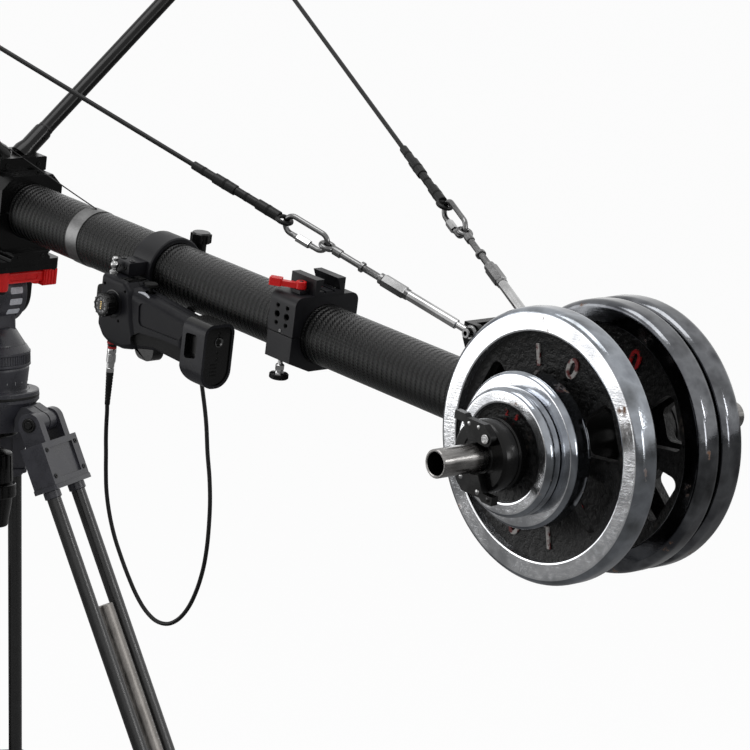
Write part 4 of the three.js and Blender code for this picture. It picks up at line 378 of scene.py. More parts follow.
class Form:
    """Closed shells in millimetres, in the frame that the piece is drawn in."""

    def __init__(self):
        self.mesh = bmesh.new()
        self.wrap = self.mesh.loops.layers.uv.new("wrap")

    def skin(self, rings, ends_meet=False, finish=0, girth=1.0, travel=None):
        """Faces from ring to ring, unrolled in millimetres; a ring of one point is a tip."""
        made = [[self.mesh.verts.new(p) for p in ring] for ring in rings]
        travel = travel or list(range(len(rings) + 1))
        rows = [(k, k + 1) for k in range(len(rings) - 1)]
        if ends_meet:
            rows.append((len(rings) - 1, 0))
        for row, (first, second) in enumerate(rows):
            here, there = made[first], made[second]
            count = max(len(here), len(there))
            for k in range(count):
                spots = [(here, k, 0), (here, k + 1, 0), (there, k + 1, 1), (there, k, 1)]
                corners, places = [], []
                for ring, step, level in spots:
                    vertex = ring[step % len(ring)]
                    if vertex not in corners:
                        corners.append(vertex)
                        places.append((girth * step / count, travel[row + level]))
                if len(corners) < 3:
                    continue
                face = self.mesh.faces.new(corners)
                face.material_index = finish
                for loop, place in zip(face.loops, places):
                    loop[self.wrap].uv = (place[0] * MM, place[1] * MM)
        return made

    def prism(self, rings, finish=0):
        """A skin with a face over each of its ends."""
        made = self.skin(rings, False, finish)
        for ring in (made[0], made[-1]):
            self.mesh.faces.new(ring).material_index = finish
        return self

    def turned(self, profile, start=ORIGIN, towards=UP, steps=64, finish=0, girth=1.0):
        """Lathe shell about a line, of (radius, along) pairs; a ring if it starts off the line."""
        start = Vector(start)
        axis = (Vector(towards) - start).normalized()
        side = axis.orthogonal().normalized()
        other = axis.cross(side)
        spokes = [side * math.cos(t) + other * math.sin(t) for t in turns(steps)]
        rings = []
        for radius, along in profile:
            used = spokes if radius > 0 else spokes[:1]
            rings.append([start + axis * along + spoke * radius for spoke in used])
        travel = [0.0]
        for a, b in zip(profile, profile[1:] + profile[:1]):
            travel.append(travel[-1] + math.dist(a, b))
        self.skin(rings, profile[0][0] > 0, finish, girth, travel)
        return self

    def rod(self, start, end, radius, steps=24, finish=0, chamfer=0.0, far_radius=None):
        """Solid round bar with chamfered ends."""
        length = (Vector(end) - Vector(start)).length
        far = radius if far_radius is None else far_radius
        profile = [(0, 0), (radius - chamfer, 0)]
        if chamfer:
            profile += [(radius, chamfer), (far, length - chamfer)]
        profile += [(far - chamfer, length), (0, length)]
        return self.turned(profile, start, end, steps, finish)

    def pin(self, x, z, low, high, radius, steps=24, finish=0, chamfer=0.0):
        """Round bar along y."""
        return self.rod((x, low, z), (x, high, z), radius, steps, finish, chamfer)

    def post(self, x, y, low, high, radius, steps=24, finish=0, chamfer=0.0):
        """Round bar along z."""
        return self.rod((x, y, low), (x, y, high), radius, steps, finish, chamfer)

    def swept(self, path, radius, steps=16, closed=False):
        """Round section along a path; the radius is one number or one for each point."""
        points = [Vector(p) for p in path]
        count = len(points)
        normal, rings = None, []
        for k, (point, size) in enumerate(zip(points, given_each(radius, count))):
            if closed:
                ahead, behind = points[(k + 1) % count], points[k - 1]
            else:
                ahead, behind = points[min(k + 1, count - 1)], points[max(k - 1, 0)]
            heading = (ahead - behind).normalized()
            if normal is None:
                normal = heading.orthogonal().normalized()
            normal = (normal - heading * normal.dot(heading)).normalized()
            other = heading.cross(normal)
            ring = [normal * math.cos(t) + other * math.sin(t) for t in turns(steps)]
            rings.append([point + spoke * size for spoke in ring])
        if closed:
            self.skin(rings, True)
            return self
        return self.prism(rings)

    def slab(self, outline, low, high, across="y", finish=0):
        """Prism of an outline: (y, z) along x, (x, z) along y, or (x, y) along z."""
        where = {
            "x": lambda a, b, t: Vector((t, a, b)),
            "y": lambda a, b, t: Vector((a, t, b)),
            "z": lambda a, b, t: Vector((a, b, t)),
        }[across]
        return self.prism([[where(a, b, t) for a, b in outline] for t in (low, high)], finish)

    def block(self, x0, x1, y0, y1, z0, z1, finish=0):
        return self.slab([(x0, z0), (x1, z0), (x1, z1), (x0, z1)], y0, y1, "y", finish)

    def ball(self, centre, radius, steps=32, finish=0):
        curve = quarter_bowl(radius, 0, 8)
        curve = [(0, -radius)] + curve[1:] + [(r, -z) for r, z in reversed(curve[1:-1])]
        centre = Vector(centre)
        return self.turned(curve + [(0, radius)], centre, centre + Vector(UP), steps, finish)

    def hoop(self, centre, normal, radius, wire, finish=0):
        """Wire ring about a centre, whose hole faces along the normal."""
        profile = [(radius + wire * math.cos(t), wire * math.sin(t)) for t in turns(12)]
        centre = Vector(centre)
        return self.turned(profile, centre, centre + Vector(normal), 32, finish)

    def add(self, mesh, where=None, finish=None):
        """Takes in a finished mesh, such as what Geometry Nodes made."""
        taken = mesh.copy()
        if where:
            taken.transform(where)
        before = len(self.mesh.faces)
        self.mesh.from_mesh(taken)
        self.mesh.faces.ensure_lookup_table()
        if finish is not None:
            for face in self.mesh.faces[before:]:
                face.material_index = finish
        bpy.data.meshes.remove(taken)
        return self

    def join(self, other, where=None):
        """Takes in another form, with what was cut from it."""
        held = other.loose("joined")
        self.add(held.data, where)
        bpy.data.objects.remove(held)
        return self

    def paint(self, finish, where):
        """Gives a finish to the faces whose middle passes the test."""
        bmesh.ops.recalc_face_normals(self.mesh, faces=self.mesh.faces)
        for face in self.mesh.faces:
            if where(face.calc_center_median()):
                face.material_index = finish
        return self

    def paint_rows(self, finish, first, last, steps):
        """Gives a finish to rows of the lathe shell that the form began with."""
        self.mesh.faces.ensure_lookup_table()
        for face in self.mesh.faces[first * steps:last * steps]:
            face.material_index = finish

    def pebble(self, corners, radius, y0, y1, rounding, steps):
        """Prism along y with rounded long corners and rounded edges on both faces."""
        insets = []
        for k in range(steps + 1):
            t = math.pi / 2 * k / steps
            insets.append((rounding * (1 - math.sin(t)), y0 + rounding * (1 - math.cos(t))))
        insets += [(inset, y0 + y1 - y) for inset, y in reversed(insets)]
        rings = []
        for inset, y in insets:
            outline = rounded(inset_corners(corners, inset), [max(r - inset, 0.6) for r in radius])
            rings.append([Vector((x, y, z)) for x, z in outline])
        return self.prism(rings)

    def loose(self, name):
        """The shells as an object of their own, for a cut or for another form."""
        bmesh.ops.recalc_face_normals(self.mesh, faces=self.mesh.faces)
        mesh = bpy.data.meshes.new(name)
        self.mesh.to_mesh(mesh)
        self.mesh.free()
        return linked(name, mesh)

    def cut(self, tool):
        """Takes another form's space out of this one."""
        body, cutter = self.loose("cut_body"), tool.loose("cut_tool")
        used = [face.material_index for made in (body, cutter) for face in made.data.polygons]
        for made in (body, cutter):
            for _ in range(max(used) + 1):
                made.data.materials.append(None)
        change = body.modifiers.new("cut", "BOOLEAN")
        change.operation = "DIFFERENCE"
        change.solver = "EXACT"
        change.use_self = True
        change.object = cutter
        mesh = settled(body)
        self.mesh = bmesh.new()
        self.mesh.from_mesh(mesh)
        layers = self.mesh.loops.layers.uv
        self.wrap = layers.get("wrap") or layers.new("wrap")
        mend(self.mesh)
        for made in (body, cutter):
            bpy.data.objects.remove(made)
        bpy.data.meshes.remove(mesh)
        return self


def mend(mesh):
    """Merges points that lie on each other and drops the edges that have no length."""
    bmesh.ops.remove_doubles(mesh, verts=mesh.verts, dist=MERGE_WITHIN)
    bmesh.ops.dissolve_degenerate(mesh, edges=mesh.edges, dist=MERGE_WITHIN)


def in_turn(corners):
    """Each corner with the one before and the one after it."""
    points = [Vector(c) for c in corners]
    return zip(points[-1:] + points[:-1], points, points[1:] + points[:1])


def rounded(corners, radius, steps=6):
    """The outline with its corners rounded, by one radius or one for each corner."""
    out = []
    sizes = given_each(radius, len(corners))
    for size, (before, here, after) in zip(sizes, in_turn(corners)):
        back, on = (before - here).normalized(), (after - here).normalized()
        half = back.angle(on) / 2
        shortest = min((before - here).length, (after - here).length)
        reach = min(size / math.tan(half), shortest * MOST_OF_EDGE)
        centre = here + (back + on).normalized() * (reach / math.cos(half))
        first, last = here + back * reach - centre, here + on * reach - centre
        for j in range(steps + 1):
            out.append(tuple(centre + first.slerp(last, j / steps) * first.length))
    return out


def inset_corners(corners, inset):
    """The outline moved inwards; its corners are in counter-clockwise order."""
    out = []
    for before, here, after in in_turn(corners):
        first, second = (here - before).normalized(), (after - here).normalized()
        inner_first, inner_second = Vector((-first.y, first.x)), Vector((-second.y, second.x))
        both = (inner_first + inner_second) / (1 + inner_first.dot(inner_second))
        out.append(tuple(here + both * inset))
    return out


def box_outline(a0, a1, b0, b1, radius=0.0):
    corners = [(a0, b0), (a1, b0), (a1, b1), (a0, b1)]
    return rounded(corners, radius) if radius else corners


def arc(centre, radius, start, end, steps=16):
    """Points on a circle, from one angle to another in degrees."""
    angles = [math.radians(start + (end - start) * k / steps) for k in range(steps + 1)]
    return [(centre[0] + radius * math.cos(t), centre[1] + radius * math.sin(t)) for t in angles]


def quarter_bowl(radius, hole, steps):
    """Profile of a bowl's wall, from an angle off the bottom up to the brim."""
    angles = [hole + (math.pi / 2 - hole) * k / steps for k in range(steps + 1)]
    return [(radius * math.sin(t), -radius * math.cos(t)) for t in angles]


def mirrored(profile, middle=0.0):
    """A profile and its mirror image about a place along the line."""
    return profile + [(r, 2 * middle - along) for r, along in reversed(profile)]


def both_sides(side, inner, outer):
    """A span on one side of the middle plane, its lower end first."""
    return sorted((side * inner, side * outer))


def piece(name, form, place, body, finishes, nodes=(), edge=0.3, steps=2):
    """Places a form in metres, rounds its edges and lets it ride on its body."""
    bmesh.ops.recalc_face_normals(form.mesh, faces=form.mesh.faces)
    mesh = bpy.data.meshes.new(name)
    form.mesh.to_mesh(mesh)
    form.mesh.free()
    mesh.transform(place)
    for finish in finishes if isinstance(finishes, list) else [finishes]:
        mesh.materials.append(finish.material)
    mesh.polygons.foreach_set("use_smooth", [True] * len(mesh.polygons))
    made = linked(name, mesh)
    if edge:
        bevel = made.modifiers.new("edges", "BEVEL")
        bevel.width = edge * MM
        bevel.segments = steps
        bevel.limit_method = "ANGLE"
        bevel.angle_limit = BEVEL_FROM
        bevel.harden_normals = True
    else:
        mesh.set_sharp_from_angle(angle=SHARP_FROM)
    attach(made, body)
    if nodes:
        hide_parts(*nodes)
    return made


# Geometry Nodes: small parts that repeat over points, along a line or round an axis.
class Growth:
    """A tree with named inputs; what it makes is taken as a plain mesh in millimetres."""

    def __init__(self, name, **inputs):
        self.tree = bpy.data.node_groups.new(name, "GeometryNodeTree")
        sockets = self.tree.interface
        for title, kind in {"Geometry": "Geometry", **inputs, "Material": "Material"}.items():
            sockets.new_socket(title, in_out="INPUT", socket_type="NodeSocket" + kind)
        sockets.new_socket("Geometry", in_out="OUTPUT", socket_type="NodeSocketGeometry")
        self.given = self.tree.nodes.new("NodeGroupInput").outputs

    def node(self, kind, inputs=None, **settings):
        return wired(self.tree, self.tree.nodes.new(kind), inputs, settings)

    def geometry(self, kind, inputs=None, **settings):
        return self.node("GeometryNode" + kind, inputs, **settings).outputs[0]

    def vector(self, x=0.0, y=0.0, z=0.0):
        return self.node("ShaderNodeCombineXYZ", {0: x, 1: y, 2: z}).outputs[0]

    def turned_to(self, direction, axis):
        inputs = {"Vector": direction}
        return self.node("FunctionNodeAlignRotationToVector", inputs, axis=axis).outputs[0]

    def facing(self):
        """Lays the z axis along the direction that is stored with each point."""
        kind, inputs = "GeometryNodeInputNamedAttribute", {"Name": "facing"}
        return self.turned_to(self.node(kind, inputs, data_type="FLOAT_VECTOR").outputs[0], "Z")

    def repeat(self, points, instance, rotation=None):
        """Ends the tree with the instance on every point."""
        inputs = {0: points, "Instance": instance}
        if rotation is not None:
            inputs["Rotation"] = rotation
        whole = self.geometry("RealizeInstances", {0: self.geometry("InstanceOnPoints", inputs)})
        done = self.geometry("SetMaterial", {0: whole, 2: self.given["Material"]})
        self.node("NodeGroupOutput", {0: done})
        return self

    def grown(self, points=(), facing=None, **values):
        """Runs the tree over the points, which all face the same way."""
        carrier = bpy.data.meshes.new("carrier")
        carrier.from_pydata([tuple(p) for p in points], [], [])
        if facing:
            held = carrier.attributes.new("facing", "FLOAT_VECTOR", "POINT")
            held.data.foreach_set("vector", list(facing) * len(points))
        host = linked("carrier", carrier)
        growth = host.modifiers.new("growth", "NODES")
        growth.node_group = self.tree
        for item in self.tree.interface.items_tree:
            if item.in_out == "INPUT" and item.name in values:
                growth[item.identifier] = values[item.name]
        mesh = settled(host)
        bpy.data.objects.remove(host)
        return mesh


def cap_screws():
    """Round heads with a six-sided socket, one at each point, upright on its facing."""
    made = Growth("cap_screws", Radius="Float", Height="Float", Socket="Float")
    radius, height, socket = (made.given[k] for k in ("Radius", "Height", "Socket"))
    head = made.geometry("MeshCylinder", {"Vertices": 20, "Radius": radius, "Depth": height})
    tool = made.geometry("MeshCylinder", {"Vertices": 6, "Radius": socket, "Depth": height})
    half = made.node("ShaderNodeMath", {0: height, 1: 0.5}, operation="MULTIPLY").outputs[0]
    lifted = made.geometry("Transform", {0: tool, "Translation": made.vector(z=half)})
    settings = {"operation": "DIFFERENCE", "solver": "EXACT"}
    drilled = made.geometry("MeshBoolean", {0: head, 1: lifted}, **settings)
    return made.repeat(made.given["Geometry"], drilled, made.facing())


def domes():
    """Round rivet heads, flattened along their facing."""
    made = Growth("domes", Radius="Float", Height="Float")
    radius = made.given["Radius"]
    ball = made.geometry("MeshUVSphere", {"Segments": 16, "Rings": 8, "Radius": 1.0})
    squash = made.vector(radius, radius, made.given["Height"])
    flat = made.geometry("Transform", {0: ball, "Scale": squash})
    return made.repeat(made.given["Geometry"], flat, made.facing())


def ring_of_blocks():
    """Blocks evenly round the z axis, their x pointing outwards."""
    made = Growth("ring_of_blocks", Count="Int", Radius="Float", Size="Vector")
    inputs = {"Vertices": made.given["Count"], "Radius": made.given["Radius"]}
    circle = made.geometry("MeshCircle", inputs)
    block = made.geometry("MeshCube", {"Size": made.given["Size"]})
    outwards = made.node("GeometryNodeInputPosition").outputs[0]
    return made.repeat(circle, block, made.turned_to(outwards, "X"))


def ring_of_lobes():
    """Upright round columns evenly round the z axis."""
    made = Growth("ring_of_lobes", Count="Int", Radius="Float", Lobe="Float", Height="Float")
    inputs = {"Vertices": made.given["Count"], "Radius": made.given["Radius"]}
    circle = made.geometry("MeshCircle", inputs)
    inputs = {"Vertices": 12, "Radius": made.given["Lobe"], "Depth": made.given["Height"]}
    return made.repeat(circle, made.geometry("MeshCylinder", inputs))


def row_of_blocks():
    """Equal blocks in a straight row that starts at the origin."""
    made = Growth("row_of_blocks", Count="Int", Step="Vector", Size="Vector")
    inputs = {"Count": made.given["Count"], "Offset": made.given["Step"]}
    block = made.geometry("MeshCube", {"Size": made.given["Size"]})
    return made.repeat(made.geometry("MeshLine", inputs), block)


CAP_SCREWS, DOMES, BLOCK_RING, LOBE_RING, BLOCK_ROW = (
    make() for make in (cap_screws, domes, ring_of_blocks, ring_of_lobes, row_of_blocks)
)
# Cap screws: radius of the head, its height, radius of the socket.
SMALL_SCREW, SCREW, LARGE_SCREW = (2.6, 1.4, 1.3), (3, 1.6, 1.5), (4.5, 2.2, 2.2)


def add_screws(form, finish, spots, facing, radius, height, socket):
    """Cap screws at the spots of a form; half of each head stands over the surface."""
    mesh = CAP_SCREWS.grown(spots, facing, Radius=radius, Height=height, Socket=socket)
    return form.add(mesh, finish=finish)


def add_side_screws(form, finish, reach, spots, radius, height, socket):
    """Cap screws at the same (x, z) on the two faces that lie at y = reach and y = -reach."""
    for side in SIDES:
        places = [(x, side * reach, z) for x, z in spots]
        add_screws(form, finish, places, (0, side, 0), radius, height, socket)


def add_domes(form, finish, spots, facing, radius, height):
    mesh = DOMES.grown(spots, facing, Radius=radius, Height=height)
    return form.add(mesh, finish=finish)


def toward(start, axis):
    """Matrix that lays the z axis along a direction from a start."""
    turn = Vector(axis).to_track_quat("Z", "Y").to_matrix().to_4x4()
    return Matrix.Translation(Vector(start)) @ turn


def add_ribs(form, finish, start, axis, count, radius, size):
    mesh = BLOCK_RING.grown(Count=count, Radius=float(radius), Size=size)
    return form.add(mesh, toward(start, axis), finish)


def add_lobes(form, start, axis, count, radius, lobe, height):
    sizes = {"Radius": float(radius), "Lobe": float(lobe), "Height": float(height)}
    return form.add(LOBE_RING.grown(Count=count, **sizes), toward(start, axis), 0)


def add_row(form, finish, middle, count, step, size, where=Matrix()):
    start = Vector(middle) - Vector(step) * (count - 1) / 2
    mesh = BLOCK_ROW.grown(Count=count, Step=step, Size=size)
    return form.add(mesh, where @ Matrix.Translation(start), finish)


def add_digits(form, finish, digits, size, place, rise):
    """Plain raised digits, centred on the place, in its x and y, standing along its z."""
    curve = bpy.data.curves.new("digits", "FONT")
    curve.body = digits
    curve.size = size
    curve.extrude = rise
    curve.offset = 0.02 * size
    curve.resolution_u = 3
    curve.align_x = curve.align_y = "CENTER"
    host = linked("digits", curve)
    mesh = settled(host)
    bpy.data.objects.remove(host)
    solid = bmesh.new()
    solid.from_mesh(mesh)
    mend(solid)
    solid.to_mesh(mesh)
    solid.free()
    return form.add(mesh, place, finish)


# The floor and the light. The floor glows to the camera and is grey where pieces mirror it.
FLOOR_GLOW = 0.96
MIRRORED_FLOOR = 0.24
ROOM_STRENGTH = 0.38
LAMPS = (
    ("front_softbox", (-2.90, -2.75, 0.60), 2.5, 36),
    ("top_softbox", (-0.4, -0.9, 3.4), 2.4, 70),
    ("low_strip", (3.3, 0.9, 0.25), 0.9, 16),
    ("window_pane", (2.2, 1.6, 0.85), 0.45, 9),
)


def blank(tree):
    """Empties a node tree and gives a function that adds a node to it."""
    tree.nodes.clear()

    def new(kind, inputs=None, **settings):
        return wired(tree, tree.nodes.new("ShaderNode" + kind), inputs, settings)

    return new


def add_stage():
    mesh = bpy.data.meshes.new("floor")
    form = bmesh.new()
    bmesh.ops.create_circle(form, cap_ends=True, radius=60, segments=96)
    form.to_mesh(mesh)
    form.free()
    material = bpy.data.materials.new("pale_floor")
    material.use_nodes = True
    new = blank(material.node_tree)
    ray = new("LightPath").outputs
    camera, glossy = ray["Is Camera Ray"], ray["Is Glossy Ray"]
    share = new("Math", {0: camera, 1: FLOOR_GLOW, 2: glossy}, operation="MULTIPLY_ADD")
    strength = new("Math", {0: glossy, 1: MIRRORED_FLOOR - 1, 2: 1.0}, operation="MULTIPLY_ADD")
    cloth = new("BsdfDiffuse", {"Color": (0.86, 0.86, 0.86, 1)})
    glow = new("Emission", {"Strength": strength.outputs[0]})
    mix = new("MixShader", {0: share.outputs[0], 1: cloth.outputs[0], 2: glow.outputs[0]})
    new("OutputMaterial", {0: mix.outputs[0]})
    mesh.materials.append(material)
    linked("floor", mesh)


def add_light():
    world = bpy.data.worlds.new("studio")
    bpy.context.scene.world = world
    world.use_nodes = True
    new = blank(world.node_tree)
    ray = new("LightPath").outputs
    inputs = {0: ray["Is Camera Ray"], 1: ray["Is Glossy Ray"]}
    seen = new("Math", inputs, operation="MAXIMUM").outputs[0]
    inputs = {0: seen, 1: ray["Is Transmission Ray"]}
    seen = new("Math", inputs, operation="MAXIMUM").outputs[0]
    room = new("Background", {"Color": (0.80, 0.82, 0.85, 1), "Strength": ROOM_STRENGTH})
    backdrop = new("Background", {"Color": (1, 1, 1, 1), "Strength": 1.0})
    mix = new("MixShader", {0: seen, 1: room.outputs[0], 2: backdrop.outputs[0]})
    new("OutputWorld", {0: mix.outputs[0]})
    bpy.context.scene.view_settings.view_transform = "Standard"
    for name, place, size, power in LAMPS:
        lamp = bpy.data.lights.new(name, "AREA")
        lamp.shape = "SQUARE"
        lamp.size = size
        lamp.energy = power
        made = linked(name, lamp)
        made.location = BAR_CENTRE + Vector(place)
        made.rotation_mode = "QUATERNION"
        made.rotation_quaternion = (-Vector(place)).to_track_quat("-Z", "Y")
        made.visible_camera = False


add_stage()
add_light()

# The control cable, from the plug under the grip to the gland in the boom.
CABLE_ROUTE = [
    (348, -76, -158.3), (349, -76, -166), (350, -76, -180), (352, -76, -198), (355, -76, -216),
    (358, -76, -236), (363, -76, -260), (371, -75, -285), (382, -73, -310), (395, -70, -333),
    (409, -67, -354), (424, -64, -373), (440, -61, -387), (457, -58, -394), (474, -55, -392),
    (488, -52, -382), (500, -49, -364), (508, -46, -340), (512, -43, -312), (512, -41, -286),
    (509, -39, -260), (504, -37, -233), (496, -35, -206), (487, -34, -180), (476, -32, -145),
    (463, -31, -112), (450, -30, -84), (438, -30, -64), (427, -29.5, -53), (418, -27.5, -46.5),
    (413, -25, -42), (412, -22.8, -37.2), (412, -20.2, -33),
]
CABLE_RADIUS = 2.5
ROUTE_STEPS = 6
PLUG_TOP = (346, -76, -86.5)


def smooth_route(points):
    """Centripetal curve through the points."""
    knots = [Vector(p) for p in points]
    knots = [knots[0] * 2 - knots[1]] + knots + [knots[-1] * 2 - knots[-2]]
    line = []
    for a, b, c, d in zip(knots, knots[1:], knots[2:], knots[3:]):
        t = [0.0]
        for p, q in ((a, b), (b, c), (c, d)):
            t.append(t[-1] + math.sqrt((q - p).length))
        for k in range(ROUTE_STEPS):
            u = t[1] + (t[2] - t[1]) * k / ROUTE_STEPS
            ab = (a * (t[1] - u) + b * (u - t[0])) / (t[1] - t[0])
            bc = (b * (t[2] - u) + c * (u - t[1])) / (t[2] - t[1])
            cd = (c * (t[3] - u) + d * (u - t[2])) / (t[3] - t[2])
            abc = (ab * (t[2] - u) + bc * (u - t[0])) / (t[2] - t[0])
            bcd = (bc * (t[3] - u) + cd * (u - t[1])) / (t[3] - t[1])
            line.append((abc * (t[2] - u) + bcd * (u - t[1])) / (t[2] - t[1]))
    return line + [knots[-2]]


def add_cable():
    line = smooth_route(CABLE_ROUTE)
    form = Form().swept(line, CABLE_RADIUS)
    nodes = ["control_cable"]
    cable = piece("control_cable_jacket", form, TUBE, "boom", jacket, nodes, edge=0)
    path = [TUBE @ point for point in line]
    length = sum((b - a).length for a, b in zip(path, path[1:]))
    return cable, path, length


def add_plug():
    """Steel plug with grip rings under the red seal, then a ribbed relief sleeve on the cable."""
    start, end = Vector(PLUG_TOP), Vector(CABLE_ROUTE[0])
    length = (end - start).length - 0.3
    down = (end - start).normalized()
    form = Form().rod(start, start + down * 2.6, 5.45, 40, 2, 0.4)
    body = [
        (0, 2.7), (5.2, 2.7), (5.4, 3.2), (5.4, 8), (4.9, 8.4), (4.9, 9.2), (5.4, 9.6), (5.4, 19),
        (4.8, 19.6), (4.8, 20.6), (4.5, 21), (4.5, 24.6), (4.1, 25), (4.1, 26), (4.5, 26.4),
        (4.5, 31), (4.2, 31.5), (0, 31.5),
    ]
    form.turned(body, start, end, 40)
    sleeve = [(0, 31.6), (4.4, 31.6), (4.5, 33)]
    for k in range(9):
        along, radius = 36 + 3.6 * k, 4.4 - 0.13 * k
        for depth, step in ((0, 0), (0.35, 0.4), (0.35, 1.2), (0.08, 1.6)):
            sleeve.append((radius - depth, along + step))
    sleeve += [(3.1, length - 0.4), (2.8, length), (0, length)]
    form.turned(sleeve, start, end, 32, 1)
    add_ribs(form, 0, start + down * 14, end - start, 18, 5.3, (0.35, 0.7, 7.0))
    finishes = [polished, rubber, red_seal]
    return piece("cable_plug", form, TUBE, "boom", finishes, ["control_plug"], 0.12)


cable, cable_path, cable_length = add_cable()
plug = add_plug()

# Boom tubes, their rings and what is bonded on them.
TUBE_RADIUS = 34.5
TUBE_BORE = 31.5
RING_RADIUS = 35.2
TUBES = (
    ("rear_tube", 209.3, 859.7),
    ("centre_tube", -913.3, 186.7),
    ("front_tube", -2135.6, -935.9),
)
RINGS = (("joint_ring", 187.0, ["boom_joint_ring"]), ("front_joint_ring", -935.6, ()))
SAFETY_WIRE = [(198, 0, 35.6), (150, 0, 43.3), (90, 0, 53.6), (17, 0, 66)]
# The middles, at x and z, of the pins that the stays end on.
LUG_PIN = (-1350, 53)
YOKE_PIN = (894, 84)
GLAND_X, GLAND_TILT = 412, math.radians(58.5)


def ring_form(x0, x1, radius, bore, bevelled=1.2):
    half = [(bore, x0), (radius - bevelled, x0), (radius, x0 + bevelled)]
    return Form().turned(mirrored(half, (x0 + x1) / 2), ORIGIN, ALONG_X, 96)


def add_boom():
    for name, x0, x1 in TUBES:
        profile = [(TUBE_RADIUS, x0), (TUBE_RADIUS, x1), (TUBE_BORE, x1), (TUBE_BORE, x0)]
        form = Form().turned(profile, ORIGIN, ALONG_X, 96, girth=BOOM_GIRTH)
        piece(name, form, TUBE, "boom", carbon, ["boom_" + name], edge=0)
    for name, x0, nodes in RINGS:
        form = ring_form(x0, x0 + 22, RING_RADIUS, TUBE_BORE - 4, 0.6)
        piece(name, form, TUBE, "boom", ring_metal, nodes, edge=0)
        seal = ring_form(x0 + 21.4, x0 + 22.6, TUBE_RADIUS + 0.35, TUBE_BORE - 3, 0.2)
        piece(name + "_seal", seal, TUBE, "boom", rubber, edge=0)


def add_lug_ring():
    """Ring clamp near the nose with the lug and the pin of the front stays."""
    x, z = LUG_PIN
    form = ring_form(x - 13, x + 13, 40, TUBE_RADIUS - 0.1)
    lug = [(x - 9, 34.4), (x + 9, 34.4)] + arc(LUG_PIN, 9, 0, 180, 24)
    form.slab(lug, -5.5, 5.5)
    form.pin(x, z, -17, 17, 5, 40, 1, 0.6)
    add_side_screws(form, 1, 39.6, [(x - 6, 0), (x + 6, 0)], 3, 1.4, 1.6)
    piece("stay_lug_ring", form, TUBE, "boom", [black_metal, rod_steel], (), 0.5)


def add_gland():
    """Ribbed gland where the cable enters the rear tube."""
    out = Vector((0, -math.cos(GLAND_TILT), -math.sin(GLAND_TILT)))
    start = Vector((GLAND_X, 0, 0))
    profile = [
        (0, 32.5), (5.5, 32.5), (5.5, 36), (5.2, 36.3), (5.2, 36.7), (5.0, 37.0), (3.2, 38.2),
        (0, 38.2),
    ]
    form = Form().turned(profile, start, start + out, 40)
    add_ribs(form, 0, start + out * 35.2, out, 12, 5.15, (0.7, 0.9, 1.8))
    piece("cable_gland", form, TUBE, "boom", rubber, (), 0.15)


def add_safety_wire():
    wire = Form().swept(SAFETY_WIRE, 0.8, 12)
    piece("safety_wire", wire, TUBE, "boom", jacket, (), edge=0)


add_boom()
add_lug_ring()
add_gland()
add_safety_wire()

# Disc weights: radius, rim width, hub radius, half thicknesses of rim, web and hub.
DISC_SIZES = {
    "large": (145, 25, 38, 15, 6, 17),
    "medium": (82.5, 19, 30, 14, 8, 14),
    "small": (67.5, 16, 28, 10, 5.5, 10),
}
# The far discs take the far chrome all over, a darker copy of the plating that is painted shade.
DISCS = (
    ("near_large_disc", "large", -46.4, painted_shade_rim_chrome, chrome),
    ("near_medium_disc", "medium", -77.8, painted_shade_rim_chrome, chrome),
    ("near_small_disc", "small", -102.2, painted_shade_rim_chrome, chrome),
    ("far_inner_disc", "large", 46.4, painted_shade_far_chrome, painted_shade_far_chrome),
    ("far_outer_disc", "large", 80.8, painted_shade_far_chrome, painted_shade_far_chrome),
)
# Digits: how far they stand off the web and out of it, their size, and where each one is.
DISC_DIGITS = {
    "large": (0.2, 1.6, 32, ((104, "1"), (74, "0"), (256, "0"), (286, "1"))),
    "medium": (0.1, 0.9, 12, ((100, "5"), (80, "0"))),
    "small": (0.1, 0.9, 9, ((96, "2"), (76, "5"))),
}
LARGE_DIGIT_RADIUS = 94
RIVET_CIRCLE, RIVETS_AT = 47, (90, 210, 330)
# The bore of the discs and the collars round the bar.
BAR_HOLE = 15.4
SLOT_CENTRES = (25, -25, 155, -155)
DISC_STEPS = 128


def disc_half(kind):
    """Profile of one side from the bore to the rim, as hub face, web floor and rim."""
    radius, rim, hub, rim_half, web_half, hub_half = DISC_SIZES[kind]
    web = radius - rim
    round_x, round_y = (7.5, 9.0) if kind == "large" else (5.0, 7.0)
    face = [(BAR_HOLE, hub_half - 0.8), (16.2, hub_half)]
    face += [(hub - 1.5, hub_half), (hub, hub_half - 1.2)]
    floor = [(hub + 2, web_half + 0.8), (hub + 4.5, web_half)]
    floor += [(web - 3.5, web_half), (web - 1.2, web_half + 1)]
    lip = [(web, rim_half - 1.4), (web + 0.4, rim_half - 0.4)]
    lip += [(web + 1.4, rim_half), (web + 2.2, rim_half)]
    nose = [(radius - round_x - 0.8, rim_half)]
    for k in range(9):
        t = math.pi / 2 * k / 8
        out, along = round_x * math.sin(t), round_y * math.cos(t)
        nose.append((radius - round_x + out, rim_half - round_y + along))
    return face, floor, lip, nose


def slot_outline(degrees):
    """Kidney slot: two arcs about the bar, with rounded ends."""
    inner, outer, reach, corner = 56, 108, 17, 9
    points = []
    for radius, sign in ((outer, 1), (inner, -1)):
        middle_radius = radius - sign * corner
        swing = math.degrees(corner / middle_radius)
        for t in (-sign, sign):
            middle = degrees + t * (reach - swing)
            centre = arc((REAR_REACH, 0), middle_radius, middle, middle, 1)[0]
            turn = (-90 if t < 0 else 0) if sign > 0 else (90 if t > 0 else 180)
            points += arc(centre, corner, middle + turn, middle + turn + 90, 5)
    return points


